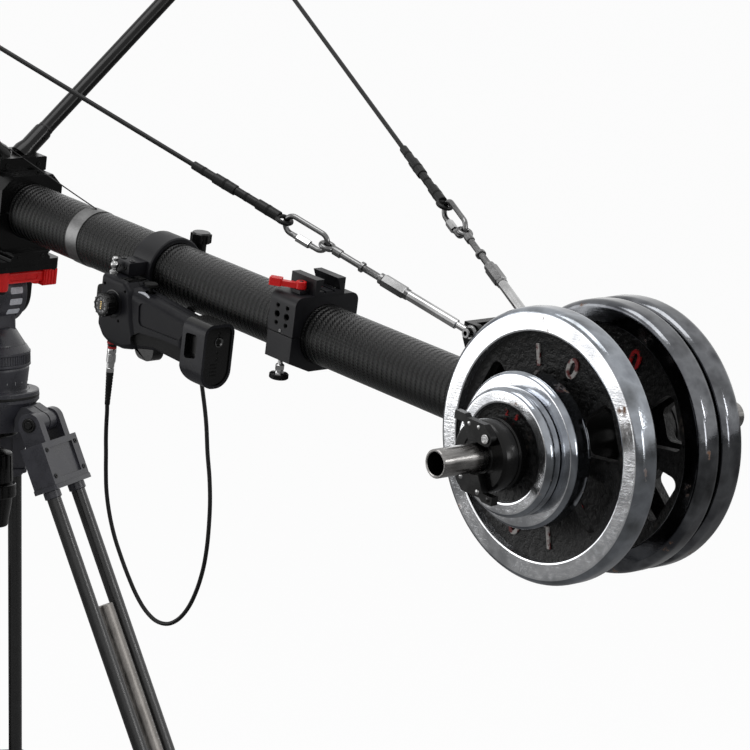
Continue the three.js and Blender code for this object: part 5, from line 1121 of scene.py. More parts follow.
def on_disc(degrees, radius, y, side):
    """Place on a disc's web whose y points outwards from the bar and whose z leaves the face."""
    t = math.radians(degrees)
    out = Vector((math.cos(t), 0, math.sin(t)))
    away = Vector((0, side, 0))
    turn = Matrix((out.cross(away), out, away)).transposed().to_4x4()
    return Matrix.Translation(Vector((REAR_REACH, y, 0)) + out * radius) @ turn


def add_disc(name, kind, y, edge, face_finish):
    face, floor, lip, nose = disc_half(kind)
    half = face + floor + lip + nose
    form = Form().turned(mirrored(half), (REAR_REACH, y, 0), (REAR_REACH, y + 1, 0), DISC_STEPS)
    last = 2 * len(half) - 2
    dark = len(face) + len(floor) - 1
    bright = dark + len(lip) + 3
    # The hub and web take the casting, the flat face the worn chrome, and the rounded rim the edge
    # finish, which on the near discs is the painted-shade rim chrome.
    form.mesh.faces.ensure_lookup_table()
    for k, shell in enumerate(form.mesh.faces):
        row = min(k // DISC_STEPS, last - k // DISC_STEPS)
        shell.material_index = 1 if row < dark else 0 if row < bright else 2
    radius, rim, hub, _, web_half, _ = DISC_SIZES[kind]
    large = kind == "large"
    if large:
        tool = Form()
        for degrees in SLOT_CENTRES:
            tool.slab(slot_outline(degrees), y - 12, y + 12, finish=1)
        form.cut(tool)
    gap, rise, size, digits = DISC_DIGITS[kind]
    middle = LARGE_DIGIT_RADIUS if large else (radius - rim + hub) / 2 + 2
    for side in SIDES:
        for degrees, digit in digits:
            place = on_disc(degrees, middle, y + side * (web_half + gap), side)
            add_digits(form, 4 if large and y < 0 else 3, digit, size, place, rise)
        if large:
            on_web = Vector((0, 0, web_half))
            spots = [on_disc(d, RIVET_CIRCLE, y, side) @ on_web for d in RIVETS_AT]
            add_domes(form, 1, spots, (0, side, 0), 3.2, 1.2)
    finishes = [face_finish, casting, edge, digit_red, digit_pale]
    piece(name + "_plate", form, TUBE, name, finishes, [name], edge=0.4)


def add_bar():
    """Open steel tube with a bevelled, polished end and a dark bore."""
    start, length, radius, bore = -206, 450, 15, 12
    profile = [
        (bore + 0.8, 0), (radius - 1.0, 0), (radius, 1.0), (radius, length - 1.0),
        (radius - 1.0, length), (bore + 0.8, length), (bore, length - 0.8), (bore, 0.8),
    ]
    form = Form().turned(profile, (REAR_REACH, start, 0), (REAR_REACH, start + length, 0))
    form.paint_rows(1, 6, 7, 64)
    finishes = [bar_steel, black_metal]
    piece("weight_tube", form, TUBE, "boom", finishes, ["weight_bar"], edge=0)


def jaw_outline(sign):
    turn = 0 if sign > 0 else 180
    points = arc((REAR_REACH + sign * 14, sign * 24), 8, turn - 90, turn + 45, 12)
    for a, b in ((10, 38), (-16, 38), (-20, 41), (-34, 41), (-34, 32), (-20, 32)):
        points.append((REAR_REACH + sign * a, sign * b))
    return points + arc((REAR_REACH, 0), 17.5, 0.68 * 180 + turn, 0.4 * 180 + turn, 12)


def add_collar(label, side, face):
    """Turned body with a fixed jaw, and the cam plate that swings on its post."""
    def y_at(along):
        return side * (face + along)

    def post(form, start, end, *values):
        return form.pin(REAR_REACH + 14, 24, y_at(start), y_at(end), *values)

    def rivets(form, finish, places, *size):
        spots = [(REAR_REACH + a, y_at(cam_end), b) for a, b in places]
        add_domes(form, finish, spots, (0, side, 0), *size)

    depth, cam_start, cam_end, tip = 32, 32.4, 40.4, 20.5
    profile = [
        (BAR_HOLE, 0), (37.2, 0), (38, 0.8), (38, 9), (36.6, 10), (36.6, 12), (38, 13),
        (38, 28.6), (37, 30.6), (35, 32), (24, 32), (23, 31), (19, 31), (18, 32), (BAR_HOLE, 32),
    ]
    form = Form().turned(profile, (REAR_REACH, y_at(0), 0), (REAR_REACH, y_at(1), 0), 96)
    add_lobes(form, (REAR_REACH, y_at(20), 0), ALONG_Y, 30, 37.3, 0.65, 13)
    form.slab(jaw_outline(-1), *sorted((y_at(depth - 0.5), y_at(cam_end))), finish=1)
    post(form, depth - 0.5, 42.3, 2.95, 32, 2, 0.3)
    post(form, 40.8, 42.1, 5, 32, 2, 0.4)
    rivets(form, 2, ((-14, -24), (12, -33), (28, -36)), 3.0, 1.1)
    form.paint(3, lambda c: c.x > REAR_REACH + tip and side * c.y > face + depth + 0.6)
    name, finishes = label + "_collar", [black_metal, cam_steel, polished, black_plastic]
    piece(name + "_body", form, TUBE, name, finishes, [name], 0.5)
    cam = Form().slab(jaw_outline(1), *sorted((y_at(cam_start), y_at(cam_end))))
    cam.cut(post(Form(), 25, 45, 3.3, 32))
    rivets(cam, 1, ((-12, 33), (2, 33)), 2.4, 0.9)
    cam.paint(2, lambda c: c.x < REAR_REACH - tip)
    name, finishes = label + "_cam", [cam_steel, polished, black_plastic]
    nodes = [label + "_collar_cam"]
    piece(name + "_plate", cam, TUBE, name, finishes, nodes, 0.6)


def add_tail():
    """Plug in the rear tube, block, hub of the bar and the yoke that the rear stays end on."""
    x, z = YOKE_PIN
    flange = [
        (0, 799.7), (27, 799.7), (31, 803.7), (31, 860), (34.6, 860), (35.2, 860.6),
        (35.2, 867.4), (34.6, 868), (0, 868),
    ]
    body = Form().pin(REAR_REACH, 0, -29, 29, 34, 96, 0, 0.8)
    body.cut(Form().pin(REAR_REACH, 0, -40, 40, 15.3, 64))
    body.turned(flange, ORIGIN, ALONG_X, 96)
    body.block(867.5, REAR_REACH, -26, 26, -30, 30)
    plate = [(-20, 29.9), (20, 29.9), (41, 74), (41, 92), (-41, 92), (-41, 74)]
    body.slab(plate, 878, 888, "x")
    for side in SIDES:
        ear = [(887.9, 92), (887.9, 76)] + arc(YOKE_PIN, 8, -90, 90, 16)
        body.slab(ear, *both_sides(side, 33, 41))
        body.pin(x, z, side * 33, side * 54, 3.2, 32, 1, 0.3)
        body.pin(x, z, side * 52, side * 54, 5.4, 32, 1, 0.4)
    add_screws(body, 1, [(x, y, 30.3) for x in (900, 960) for y in (-15, 15)], UP, 4, 2, 2)
    add_side_screws(body, 1, 26.2, [(x, z) for x in (900, 960) for z in (-16, 16)], 4, 2, 2)
    finishes = [black_metal, rod_steel]
    piece("tail_casting", body, TUBE, "boom", finishes, ["tail_block"], 0.8)


for disc in DISCS:
    add_disc(*disc)
add_bar()
add_collar("near", -1, 112.6)
add_collar("far", 1, 98.2)
add_tail()


# The hand controller: clamp ring, shell, end cap and the controls.
def add_grip_clamp():
    """Split ring with screw lugs and the arm that holds the shell, and its thumb knob."""
    front, back, knob_x, knob_y = 320, 356, 338, 49
    form = ring_form(front, back, 41, TUBE_RADIUS + 0.3, 1.4)
    form.cut(Form().block(front - 5, back + 5, 0, 60, -1, 3))
    for z0, z1 in ((-11, -1), (3, 14)):
        lug = Form().slab(box_outline(36, 58, z0, z1, 3.0), front, back, "x")
        form.join(lug.cut(Form().post(knob_x, knob_y, z0 - 5, z1 + 5, 3.4, 32)))
    arm = Form().slab(box_outline(-66, -36, -1.7, 14, 2.0), front + 4, front + 30, "x")
    form.join(arm.cut(Form().rod((front, 0, 0), (back, 0, 0), 36, 96)))
    add_screws(form, 1, [(x, -58, 14.2) for x in (329, 345)], UP, 3.4, 1.8, 1.7)
    add_screws(form, 1, [(x, -66.1, 6.5) for x in (331, 343)], (0, -1, 0), *SMALL_SCREW)
    finishes = [satin_metal, black_metal]
    piece("grip_ring", form, TUBE, "boom", finishes, ["grip_clamp"], 0.7)
    base, up = Vector((knob_x, knob_y, 14.3)), Vector(UP)
    profile = [
        (0, -25.3), (3, -25.3), (3, 0), (7.5, 0), (7.5, 12), (6.5, 13), (11.5, 13.2),
        (11.5, 24.5), (10, 26), (0, 26),
    ]
    knob = Form().turned(profile, base, base + up, 48)
    add_lobes(knob, base + up * 19, up, 8, 10.4, 2.55, 10.4)
    knob.turned([(0, 25), (5, 25.6), (5, 25.8), (4, 25.95), (0, 25.95)], base, base + up, 32, 1)
    finishes, nodes = [black_plastic, rod_steel], ["grip_clamp_knob"]
    piece("ring_thumb_knob", knob, TUBE, "clamp_knob", finishes, nodes, 0.4)


HEAD_CORNERS = [
    (323, -2), (323, -64), (334, -77), (346.7, -82), (372, -82), (398, -76), (386, -44),
    (379, -12), (366, -2),
]
HEAD_ROUNDS = [5, 8, 14, 12, 14, 10, 40, 10, 8]
HANDLE_CORNERS = [
    (356, -12), (356, -74), (372, -81.5), (424, -70), (481, -72), (481, -17), (386, -9),
    (376, -7),
]
HANDLE_ROUNDS = [5, 8, 14, 26, 3, 3, 10, 8]
UPPER_PANEL = [(396, -46), (470, -44), (476, -32), (476, -24.5), (408, -17.4), (393, -20)]
LOWER_PANEL = [
    (391, -72), (418, -69.5), (446, -66.6), (476, -67.6), (474.5, -50.6), (443.2, -50.8),
    (398.5, -54.5), (386, -62),
]
# Countersunk screws: place at x and z, and radius.
SHELL_SCREWS = ((332.1, -12.9, 2.1), (362.8, -50.3, 2.1), (328.6, -62.5, 1.8), (370, -13, 1.9))
# The shell's seam, and the middles, at x and z or x and y, of the dial and the thumb stick.
SEAM = -65
DIAL, STICK = (350, -33), (392, SEAM)


def add_shell():
    """Two-part shell with recessed panels, pockets for the controls and countersunk screws."""
    near, far = -85, -45
    form = Form().pebble(HEAD_CORNERS, HEAD_ROUNDS, near, far, 6.5, 7)
    form.pebble(HANDLE_CORNERS, HANDLE_ROUNDS, near + 3, far - 1, 12, 9)
    for corners, depth, size, finish in ((UPPER_PANEL, 4.6, 7, 0), (LOWER_PANEL, 5.2, 6, 1)):
        outline = rounded(corners, size)
        form.cut(Form().slab(outline, near - 5, near + depth, "y", finish))
        form.cut(Form().slab(outline, far + 1.6 - depth, far + 5, "y", finish))
    for corners in (HEAD_CORNERS, HANDLE_CORNERS):
        groove = Form().slab(inset_corners(corners, -4), SEAM - 0.3, SEAM + 0.3)
        form.cut(groove.cut(Form().slab(inset_corners(corners, 0.7), SEAM - 5, SEAM + 5)))
    form.cut(Form().block(320, 335, -77.3, -52.7, -45.3, -20.7, 2))
    form.cut(Form().block(382.7, 417.3, -73.3, -56.7, -95, -58.2, 2))
    form.cut(Form().post(*STICK, -24, 5, 6.2, 32, 2))
    rails = Form().slab(box_outline(-78.5, -51.5, -9, 4, 1.5), 352, 371, "x", 2)
    form.cut(rails.cut(Form().slab(box_outline(-80, -50, -12, -3.4), 350, 373, "x", 2)))
    for x, z, size in SHELL_SCREWS:
        form.cut(Form().rod((x, near - 2, z), (x, near + 2.4, z), size, 24, 2, 0, size * 0.8))
    (x, z), (plug_x, plug_y, _) = DIAL, PLUG_TOP
    form.pin(x, z, near + 1, near - 6, 3, 24, 2)
    for start, end, steps, finish, profile in (
        (-84.5, -83.5, 40, 2, [(0, 3), (5.8, 3), (5.8, -1), (5.2, -1.6), (0, -1.6)]),
        (-83, -80, 40, 3, [(5.9, 0), (6.5, 0.3), (6.5, 1.9), (5.9, 2.2)]),
    ):
        form.turned(profile, (plug_x, plug_y, start), (plug_x, plug_y, end), steps, finish)
    collar = [(15.4, 0), (16.6, 0.3), (16.6, 0.9), (15.4, 1.2)]
    form.turned(collar, (x, near + 0.5, z), (x, near - 1, z), 64, 2)
    finishes = [shell_plastic, grip_texture, black_plastic, red_seal]
    piece("controller_shell", form, TUBE, "boom", finishes, ["grip_body"], 0.35)


# Buttons: place at x and y, and top.
BUTTONS = [(x, y, -1.2) for x in (356, 363) for y in (-74, -56)] + [(374.4, -58, -2.1)]


def add_top_controls():
    """Ribbed buttons, the clear strip beside the stick and the steel mounting stud."""
    form = Form()
    for x, y, top in BUTTONS:
        form.slab(box_outline(x - 2.6, x + 2.6, y - 4, y + 4, 1.4), -5, top, "z")
        add_row(form, 0, (x, y, -1.1), 4, (0, 1.7, 0), (4.2, 0.8, 0.7))
    piece("button_row", form, TUBE, "boom", rubber, (), 0.25)
    path, radii = [], []
    for k in range(15):
        t = k / 14
        bow = math.sin(math.pi * t)
        path.append((384 + 20 * t, -76 + 1.2 * bow, -10.6 - 1.6 * t + 1.2 * bow))
        radii.append(0.9 + 0.9 * bow)
    band = Form().swept(path, radii)
    piece("clear_strip", band, TUBE, "boom", glow_strip, (), edge=0)
    stud, up = Vector((333, -74, -2.4)), Vector(UP)
    profile = [(0, 0), (5.2, 0), (5.2, 4.2), (3.0, 5.0), (3.0, 6.6)]
    for t in (-0.9, -0.6, -0.3, 0, 0.3, 0.6, 0.9):
        profile.append((5.0 * math.cos(t), 11 + 5.0 * math.sin(t)))
    profile += [(2.6, 15.6), (2.6, 16.6), (3.8, 17.2), (3.8, 19.4), (3.0, 20.4), (0, 20.4)]
    form = Form().turned(profile, stud, stud + up, 40)
    add_ribs(form, 0, stud + up * 2.2, up, 24, 5.2, (0.4, 0.6, 3.2))
    piece("mounting_stud", form, TUBE, "boom", polished, (), 0.15)


def add_end_cap():
    """Grey frame round a dark inset end face, with a window in the near side."""
    x0, x1 = 481.3, 520.3
    box = [(-87, -88), (-43, -88), (-43, -12), (-87, -12)]
    form = Form().slab(rounded(box, [20, 20, 12, 12], 12), x0, x1, "x")
    chin = Form().block(x0 - 1, x0 + 24, -90, -40, -100, -70)
    form.cut(chin.cut(Form().pin(x0 + 23, -65, -95, -35, 23, 64)))
    inner = [(-83.4, -84.4), (-46.6, -84.4), (-46.6, -15.6), (-83.4, -15.6)]
    form.cut(Form().slab(rounded(inner, [17, 17, 9, 9], 12), x1 - 1.6, x1 + 5, "x", 1))
    window = rounded([(x0 + 6, -58), (x0 + 26, -54), (x0 + 27, -26), (x0 + 6, -28)], 4)
    form.cut(Form().slab(window, -95, -79, "y", 1))
    pane = rounded([(x0 + 9, -53), (x0 + 23, -50), (x0 + 23, -31), (x0 + 9, -32)], 3)
    form.slab(pane, -79.4, -78, "y", 2)
    lens = [(3.4, 0), (6, 0), (6, 1.1), (5, 1.5), (4, 0.9), (3.4, 0.5)]
    form.turned(lens, (x1 - 1.8, -64, -33), (x1, -64, -33), 48, 3)
    add_domes(form, 2, [(x1 - 1.6, -64, z) for z in (-33, -24, -46, -54)], ALONG_X, 2.2, 0.9)
    add_row(form, 2, (x1 - 1.7, -68, -66), 4, (0, 0, 4.2), (1.0, 9, 1.5))
    form.paint(1, lambda c: c.z > -16 and c.x > x0 + 1)
    finishes, nodes = [cap_grey, black_plastic, cam_steel, rod_steel], ["grip_end_cap"]
    piece("controller_cap", form, TUBE, "boom", finishes, nodes, 0.9)


def add_push_pad():
    pad = Form().slab(box_outline(-77, -53, -45, -21, 3.5), 309, 327, "x")
    add_row(pad, 0, (308.9, SEAM, -33), 6, (0, 0, 3.4), (0.9, 18, 1.5))
    nodes = ["grip_push_pad"]
    piece("push_pad_block", pad, TUBE, "push_pad", rubber, nodes, 0.9)


def add_dial():
    centre, out = Vector((DIAL[0], -85.3, DIAL[1])), Vector((0, -1, 0))
    profile = [
        (0, 0), (11.8, 0), (12.4, 1), (12.4, 5), (13.2, 6.2), (13.2, 16.2), (12, 17.4),
        (10.2, 17.6), (9.6, 16.9), (0, 16.9),
    ]
    dial = Form().turned(profile, centre, centre + out)
    dial.cut(Form().rod(centre - out, centre + out * 6.4, 3.3, 24))
    add_lobes(dial, centre + out * 11.4, out, 14, 12.7, 1.28, 10.6)
    for degrees in range(20, 360, 40):
        t = math.radians(degrees)
        spot = centre + out * 16.9 + Vector((7.6 * math.cos(t), 0, 7.6 * math.sin(t)))
        turn = Matrix.Translation(spot) @ Matrix.Rotation(-t, 4, "Y")
        add_row(dial, 1, ORIGIN, 2, (0, 0, 1.5), (2.4, 0.5, 0.55), turn)
    add_row(dial, 2, centre + out * 17.0, 5, (0, 0, 2.0), (2.6, 0.9, 1.0))
    finishes = [black_plastic, pale_mark, gold]
    piece("control_dial", dial, TUBE, "dial", finishes, ["grip_dial"], 0.2)


def add_stick():
    at, up = Vector((*STICK, -16)), Vector(UP)
    profile = [(0, -4.5)]
    profile += [(4.5 * math.sin(t), -4.5 * math.cos(t)) for t in (0.4, 0.8, 1.2, 1.6, 2.0)]
    profile += [
        (2.5, 4.2), (2.5, 12.6), (6.8, 13.2), (7.9, 14.2), (7.9, 17), (6.8, 17.9), (5.4, 17.5),
        (0, 16.9),
    ]
    stick = Form().turned(profile, at, at + up, 48)
    add_lobes(stick, at + up * 15.6, up, 24, 7.55, 0.44, 2.6)
    nodes = ["grip_thumb_stick"]
    piece("thumb_stick_cap", stick, TUBE, "thumb_stick", rubber, nodes, 0.15)


def add_trigger():
    outline = [(383, -64), (383, -79)] + arc((395, -75.8), 12, 180, 270)
    outline += arc((405, -75.8), 12, 270, 360) + [(417, -64)]
    trigger = Form().slab(outline, -73, -57)
    add_row(trigger, 1, (400, SEAM, -87.6), 4, (3.0, 0, 0), (1.4, 12, 0.6))
    finishes, nodes = [black_plastic, rubber], ["grip_trigger"]
    piece("trigger_lobe", trigger, TUBE, "trigger", finishes, nodes, 2.0, 4)


for add in (add_grip_clamp, add_shell, add_top_controls, add_end_cap, add_push_pad, add_dial,
            add_stick, add_trigger):
    add()

# Rail clamp on the rear tube, with the quick plate, its lever and the thumb screw.
CLAMP_START, CLAMP_MIDDLE, CLAMP_END = 579, 600, 621
SCREW_Y = -41
LEVER_PIN, LEVER_TURN = (604, -27), math.radians(216)


def rail_clamp_half(outline):
    """Half of the clamp, with the space of the tube and of the thumb screw left out."""
    form = Form().slab(outline, CLAMP_START, CLAMP_END, "x")
    form.cut(Form().rod((CLAMP_START - 9, 0, 0), (CLAMP_END + 9, 0, 0), 34.8, 96))
    return form


def add_rail_clamp():
    half, top, corner = 47, 45, 10
    outline = [(-half, -0.5), (half, -0.5)]
    outline += arc((half - corner, top - corner), corner, 0, 90, 10)
    outline += arc((corner - half, top - corner), corner, 90, 180, 10)
    form = rail_clamp_half(outline)
    for column in (-8, 8):
        for row, radius in ((-10, 2.2), (0, 3.6), (10, 2.2)):
            x, z = CLAMP_MIDDLE + column, 20 + row
            hole = Form().pin(x, z, -half - 3, -half + 6, radius, 32, 2)
            form.cut(hole.pin(x, z, -half - 0.1, -half + 0.7, radius + 0.8, 32, 2))
    form.cut(Form().post(CLAMP_MIDDLE, SCREW_Y, -5, 10.3, 3.3))
    form.cut(Form().block(CLAMP_START - 1, CLAMP_START + 0.8, -41, 41, 41, 60))
    plate = Form().block(CLAMP_START, CLAMP_END, -20, 24, top - 1, 50)
    for y in (-6.5, 6.5):
        plate.cut(Form().block(CLAMP_START - 2, CLAMP_END + 2, y, y + 3, 47.6, 60))
    for edge, sign in ((-20, 1), (24, -1)):
        jaw = [(edge, 49.9), (edge + sign * 9, 49.9), (edge + sign * 6, 50), (edge + sign * 12, 64)]
        plate.slab(jaw + [(edge, 64)], CLAMP_START, CLAMP_END, "x")
    plate.block(597, 611, -34, -19.5, 46, 50)
    plate.post(*LEVER_PIN, 49, 59.3, 2.4, 24, 1)
    form.join(plate)
    add_screws(form, 1, [(x, 17, 50.2) for x in (588, 612)], UP, 2.8, 1.6, 1.4)
    add_screws(form, 1, [(CLAMP_MIDDLE, -47.1, 2.6)], (0, -1, 0), 1.7, 1.2, 0.9)
    add_row(form, 2, (CLAMP_MIDDLE, 24.1, 58), 7, (5, 0, 0), (2.2, 1.2, 8))
    add_row(form, 3, (CLAMP_END - 3.4, -12.6, 57), 2, (0, 3.4, 0), (4.6, 1.4, 3.4))
    finishes, nodes = [satin_metal, rod_steel, black_metal, red_metal], ["rail_clamp_upper"]
    piece("rail_clamp_top", form, TUBE, "boom", finishes, nodes, 0.8, 3)
    outline = [(-half, -1.5), (-half, -31), (-16, -43), (16, -43), (half, -31), (half, -1.5)]
    lower = rail_clamp_half(outline)
    lower.cut(Form().post(CLAMP_MIDDLE, SCREW_Y, -60, 10, 3.3))
    add_screws(lower, 1, [(x, 41, -33) for x in (588, 612)], (0, 0, -1), 3, 2, 1.5)
    finishes, nodes = [satin_metal, rod_steel], ["rail_clamp_lower"]
    piece("rail_clamp_bottom", lower, TUBE, "boom", finishes, nodes, 0.8, 3)


def add_rail_screw():
    base = Vector((CLAMP_MIDDLE, SCREW_Y, 0))
    profile = [
        (0, -54), (9.8, -54), (10.6, -53.2), (10.6, -48.4), (10, -47.6), (5, -47.2), (4.6, -45),
        (4.6, -44), (5, -43.2), (5, -38), (4.2, -37.2), (3, -37),
    ]
    for k in range(22):
        profile += [(3.0, 2 * k - 36), (2.6, 2 * k - 35)]
    profile += [(2.6, 9), (2.2, 9.8), (0, 10)]
    screw = Form().turned(profile, base, base + Vector(UP), 40)
    screw.paint_rows(1, 0, 4, 40)
    add_ribs(screw, 1, base + Vector((0, 0, -50.8)), UP, 36, 10.55, (0.9, 0.8, 4.6))
    finishes, nodes = [polished, cam_steel], ["rail_thumb_screw"]
    piece("clamp_thumb_screw", screw, TUBE, "rail_screw", finishes, nodes, 0.12)


def add_rail_lever():
    place = Matrix.Translation((*LEVER_PIN, 50.3)) @ Matrix.Rotation(LEVER_TURN, 4, "Z")
    form = Form().post(0, 0, 0, 8.7, 6, 40, 0, 0.6)
    form.slab(box_outline(0, 24, -4, 4), 0.4, 6.6, "z")
    form.slab(box_outline(22, 36, -6, 6, 1.5), 0, 8.7, "z")
    form.cut(Form().post(0, 0, -2, 12, 2.7, 32))
    add_row(form, 0, (29.5, 0, 8.8), 4, (2.8, 0, 0), (1.3, 10, 0.5))
    add_row(form, 0, (29.5, 5.8, 4.4), 4, (2.8, 0, 0), (1.3, 0.7, 7))
    lever, nodes = Form().join(form, place), ["rail_lever"]
    piece("clamp_lever", lever, TUBE, "rail_lever", red_metal, nodes, 0.4)


add_rail_clamp()
add_rail_screw()
add_rail_lever()

# Stays: from each strut tip back to the tail's yoke and forward to the lug ring.
MAST_X, MAST_SPREAD, MAST_RISE, MAST_ROOT = 21, 327, 346, 44.3
# Distances from the tip: the eye on the strut, the stay's own loop and the ends of its ferrule.
EYE_AT = 20.0
LOOP_AT = 30.7
FERRULE, FERRULE_END = 37.7, 63.7
LOOP_RADIUS, LOOP_WIRE, WIRE_RADIUS = 8, 2.5, 2.7
CLEARANCE = 0.3
COUPLER_LENGTH = 38
# Shares of a rear stay's length: both ends of its sleeves, and where its coupler starts.
SLEEVES_FROM, SLEEVES_TO, COUPLER_FROM = 0.606, 0.731, 0.8745
SLEEVE_RADII = (4.8, 6, 4.8, 6)


class Run:
    """A straight stay: places along it, and the two directions that its eyes face."""

    def __init__(self, side, pin, spread):
        self.tip = Vector((MAST_X, side * MAST_SPREAD, MAST_RISE))
        self.anchor = Vector((pin[0], side * spread, pin[1]))
        self.length = (self.anchor - self.tip).length
        self.along = (self.anchor - self.tip) / self.length
        self.across = Vector(ALONG_Y).cross(self.along).normalized()
        self.lateral = self.along.cross(self.across).normalized()

    def at(self, distance):
        return self.tip + self.along * distance

    def turned(self, form, profile, steps=24, finish=0):
        return form.turned(profile, self.tip, self.anchor, steps, finish)

    def shaft(self, form, lengths, finish=0):
        """Plain round lengths, given as (radius, start, end), with small shoulders between."""
        profile = [(0, lengths[0][1])]
        for radius, start, end in lengths:
            ease = min(0.5, radius / 4)
            profile += [(radius - ease, start), (radius, start + ease)]
            profile += [(radius, end - ease), (radius - ease, end)]
        return self.turned(form, profile + [(0, lengths[-1][2])], 24, finish)

    def coupler(self, form, start, end, inset, finish=0):
        """Six-sided barrel with turned collars at its ends."""
        radius, chamfer = 7.6, 1.2
        low, high = start + inset, end - inset
        profile = [(0, low), (radius - 1.4, low), (radius, low + chamfer), (radius, high - chamfer)]
        self.turned(form, profile + [(radius - 1.4, high), (0, high)], 6, finish)
        for place in (start, end - 4.5):
            self.shaft(form, [(6.2, place, place + 4.5)], finish)


def stay_runs(side):
    return Run(side, YOKE_PIN, 46), Run(side, LUG_PIN, 11)


def add_rear_stay(side, label):
    run, _ = stay_runs(side)
    sleeve_start, sleeve_end = run.length * SLEEVES_FROM, run.length * SLEEVES_TO
    step = (sleeve_end - sleeve_start) / len(SLEEVE_RADII)
    wire, sleeves = Form(), []
    for k, radius in enumerate(SLEEVE_RADII):
        start = sleeve_start + k * step
        sleeves.append((radius, start, start + step))
        band = start + step / 2
        profile = mirrored([(radius - 0.4, band - 2), (radius + 0.25, band - 1.4)], band)
        run.turned(wire, profile, 24, 1)
    ferrule = [(4.6, FERRULE, FERRULE_END), (WIRE_RADIUS, FERRULE_END, sleeve_start)]
    run.shaft(wire, ferrule + sleeves)
    for place in (LOOP_AT, sleeve_end + 7):
        wire.hoop(run.at(place), run.across, LOOP_RADIUS, LOOP_WIRE)
    finishes, nodes = [jacket, rubber], [f"rear_stay_wire_{label}"]
    piece(f"rear_wire_{label}", wire, TUBE, "boom", finishes, nodes, edge=0)

    half, bend, link_wire = 18, 10, 3
    link_at = sleeve_end + 7 + LOOP_RADIUS + half + bend - LOOP_WIRE - link_wire - CLEARANCE
    centre = run.at(link_at)
    path = []
    for end in (1, -1):
        for k in range(17):
            t = math.pi * k / 16
            out = run.along * end * (half + bend * math.sin(t))
            path.append(centre + out + run.across * end * bend * math.cos(t))
    link = Form().swept(path, link_wire, 14, True)
    middle, reach = centre + run.across * bend, run.along * 9
    nut = [(3.1, 0), (4.9, 0.8), (4.9, 17.2), (3.1, 18)]
    link.turned(nut, middle - reach, middle + reach, 6, 1)
    for end in SIDES:
        add_ribs(link, 1, middle + run.along * end * 11.5, run.along, 12, 2.95, (0.5, 0.7, 3.0))
    finishes, nodes = [rod_steel, polished], [f"quick_link_{label}"]
    piece(f"quick_link_{label}_body", link, TUBE, "boom", finishes, nodes, 0)

    eye, eye_wire = 7, 3
    eye_at = link_at + half + bend + eye - link_wire - eye_wire - CLEARANCE
    start = run.length * COUPLER_FROM
    end = start + COUPLER_LENGTH
    rod = Form()
    run.shaft(rod, [(3.6, eye_at + 6, start + 0.5)])
    last = run.length - 18
    run.shaft(rod, [(5.5, end - 0.5, last), (3.6, last, run.length - 6)], 1)
    run.coupler(rod, start, end, 4)
    run.shaft(rod, [(4.9, eye_at + 9, eye_at + 19)])
    run.shaft(rod, [(5.9, start - 26, start - 22)])
    thread = [(3.4, start - 21)]
    for k in range(13):
        along = start - 20.5 + 1.5 * k
        thread += [(3.95, along), (3.55, along + 0.75)]
    run.turned(rod, thread + [(3.4, start - 0.5)], 20)
    rod.hoop(run.at(eye_at), run.across, eye, eye_wire)
    rod.hoop(run.anchor, ALONG_Y, 6, 2.2)
    nodes = [f"rear_stay_rod_{label}"]
    piece(f"rear_rod_{label}", rod, TUBE, "boom", finishes, nodes, 0)


def add_front_stay(side, label):
    _, run = stay_runs(side)
    start = run.length - 210
    form = Form()
    ferrule = [(4.6, FERRULE, FERRULE_END), (WIRE_RADIUS, FERRULE_END, start - COUPLER_LENGTH)]
    run.shaft(form, ferrule)
    run.shaft(form, [(5.5, start, run.length - 8.4)], 1)
    run.coupler(form, start - COUPLER_LENGTH, start, 2, 1)
    form.hoop(run.at(LOOP_AT), run.across, LOOP_RADIUS, LOOP_WIRE)
    form.hoop(run.anchor, ALONG_Y, 8.4, 3, 1)
    finishes, nodes = [jacket, rod_steel], [f"front_stay_{label}"]
    piece(f"front_wire_{label}", form, TUBE, "boom", finishes, nodes, 0)


def strut_line(side):
    """Where the struts meet in the boss, and the direction of one of them."""
    slope = Vector((0, side * MAST_SPREAD, MAST_RISE - MAST_ROOT)).normalized()
    return Vector((MAST_X, 0, MAST_ROOT)), slope


def add_strut(side, label):
    root, slope = strut_line(side)
    runs = stay_runs(side)
    tip = runs[0].tip
    form = Form().rod(root + slope * 19, tip, 9.5, 48, 0, 0.5)
    form.ball(tip, 12.6, 48)
    for run in runs:
        form.hoop(run.at(EYE_AT), run.lateral, LOOP_RADIUS, LOOP_WIRE, 1)
        run.shaft(form, [(5.0, 10.5, 14.0)], 1)
    for distance in (68, 420):
        spot = root + slope * distance
        band = [(9.3, -2), (9.9, -1.4), (9.9, 1.4), (9.3, 2)]
        form.turned(band, spot, spot + slope, 48, 1)
    finishes, nodes = [black_metal, cam_steel], [f"mast_strut_{label}"]
    piece(f"strut_{label}", form, TUBE, "boom", finishes, nodes, 0)


for side, label in ((-1, "near"), (1, "far")):
    add_rear_stay(side, label)
    add_front_stay(side, label)
    add_strut(side, label)


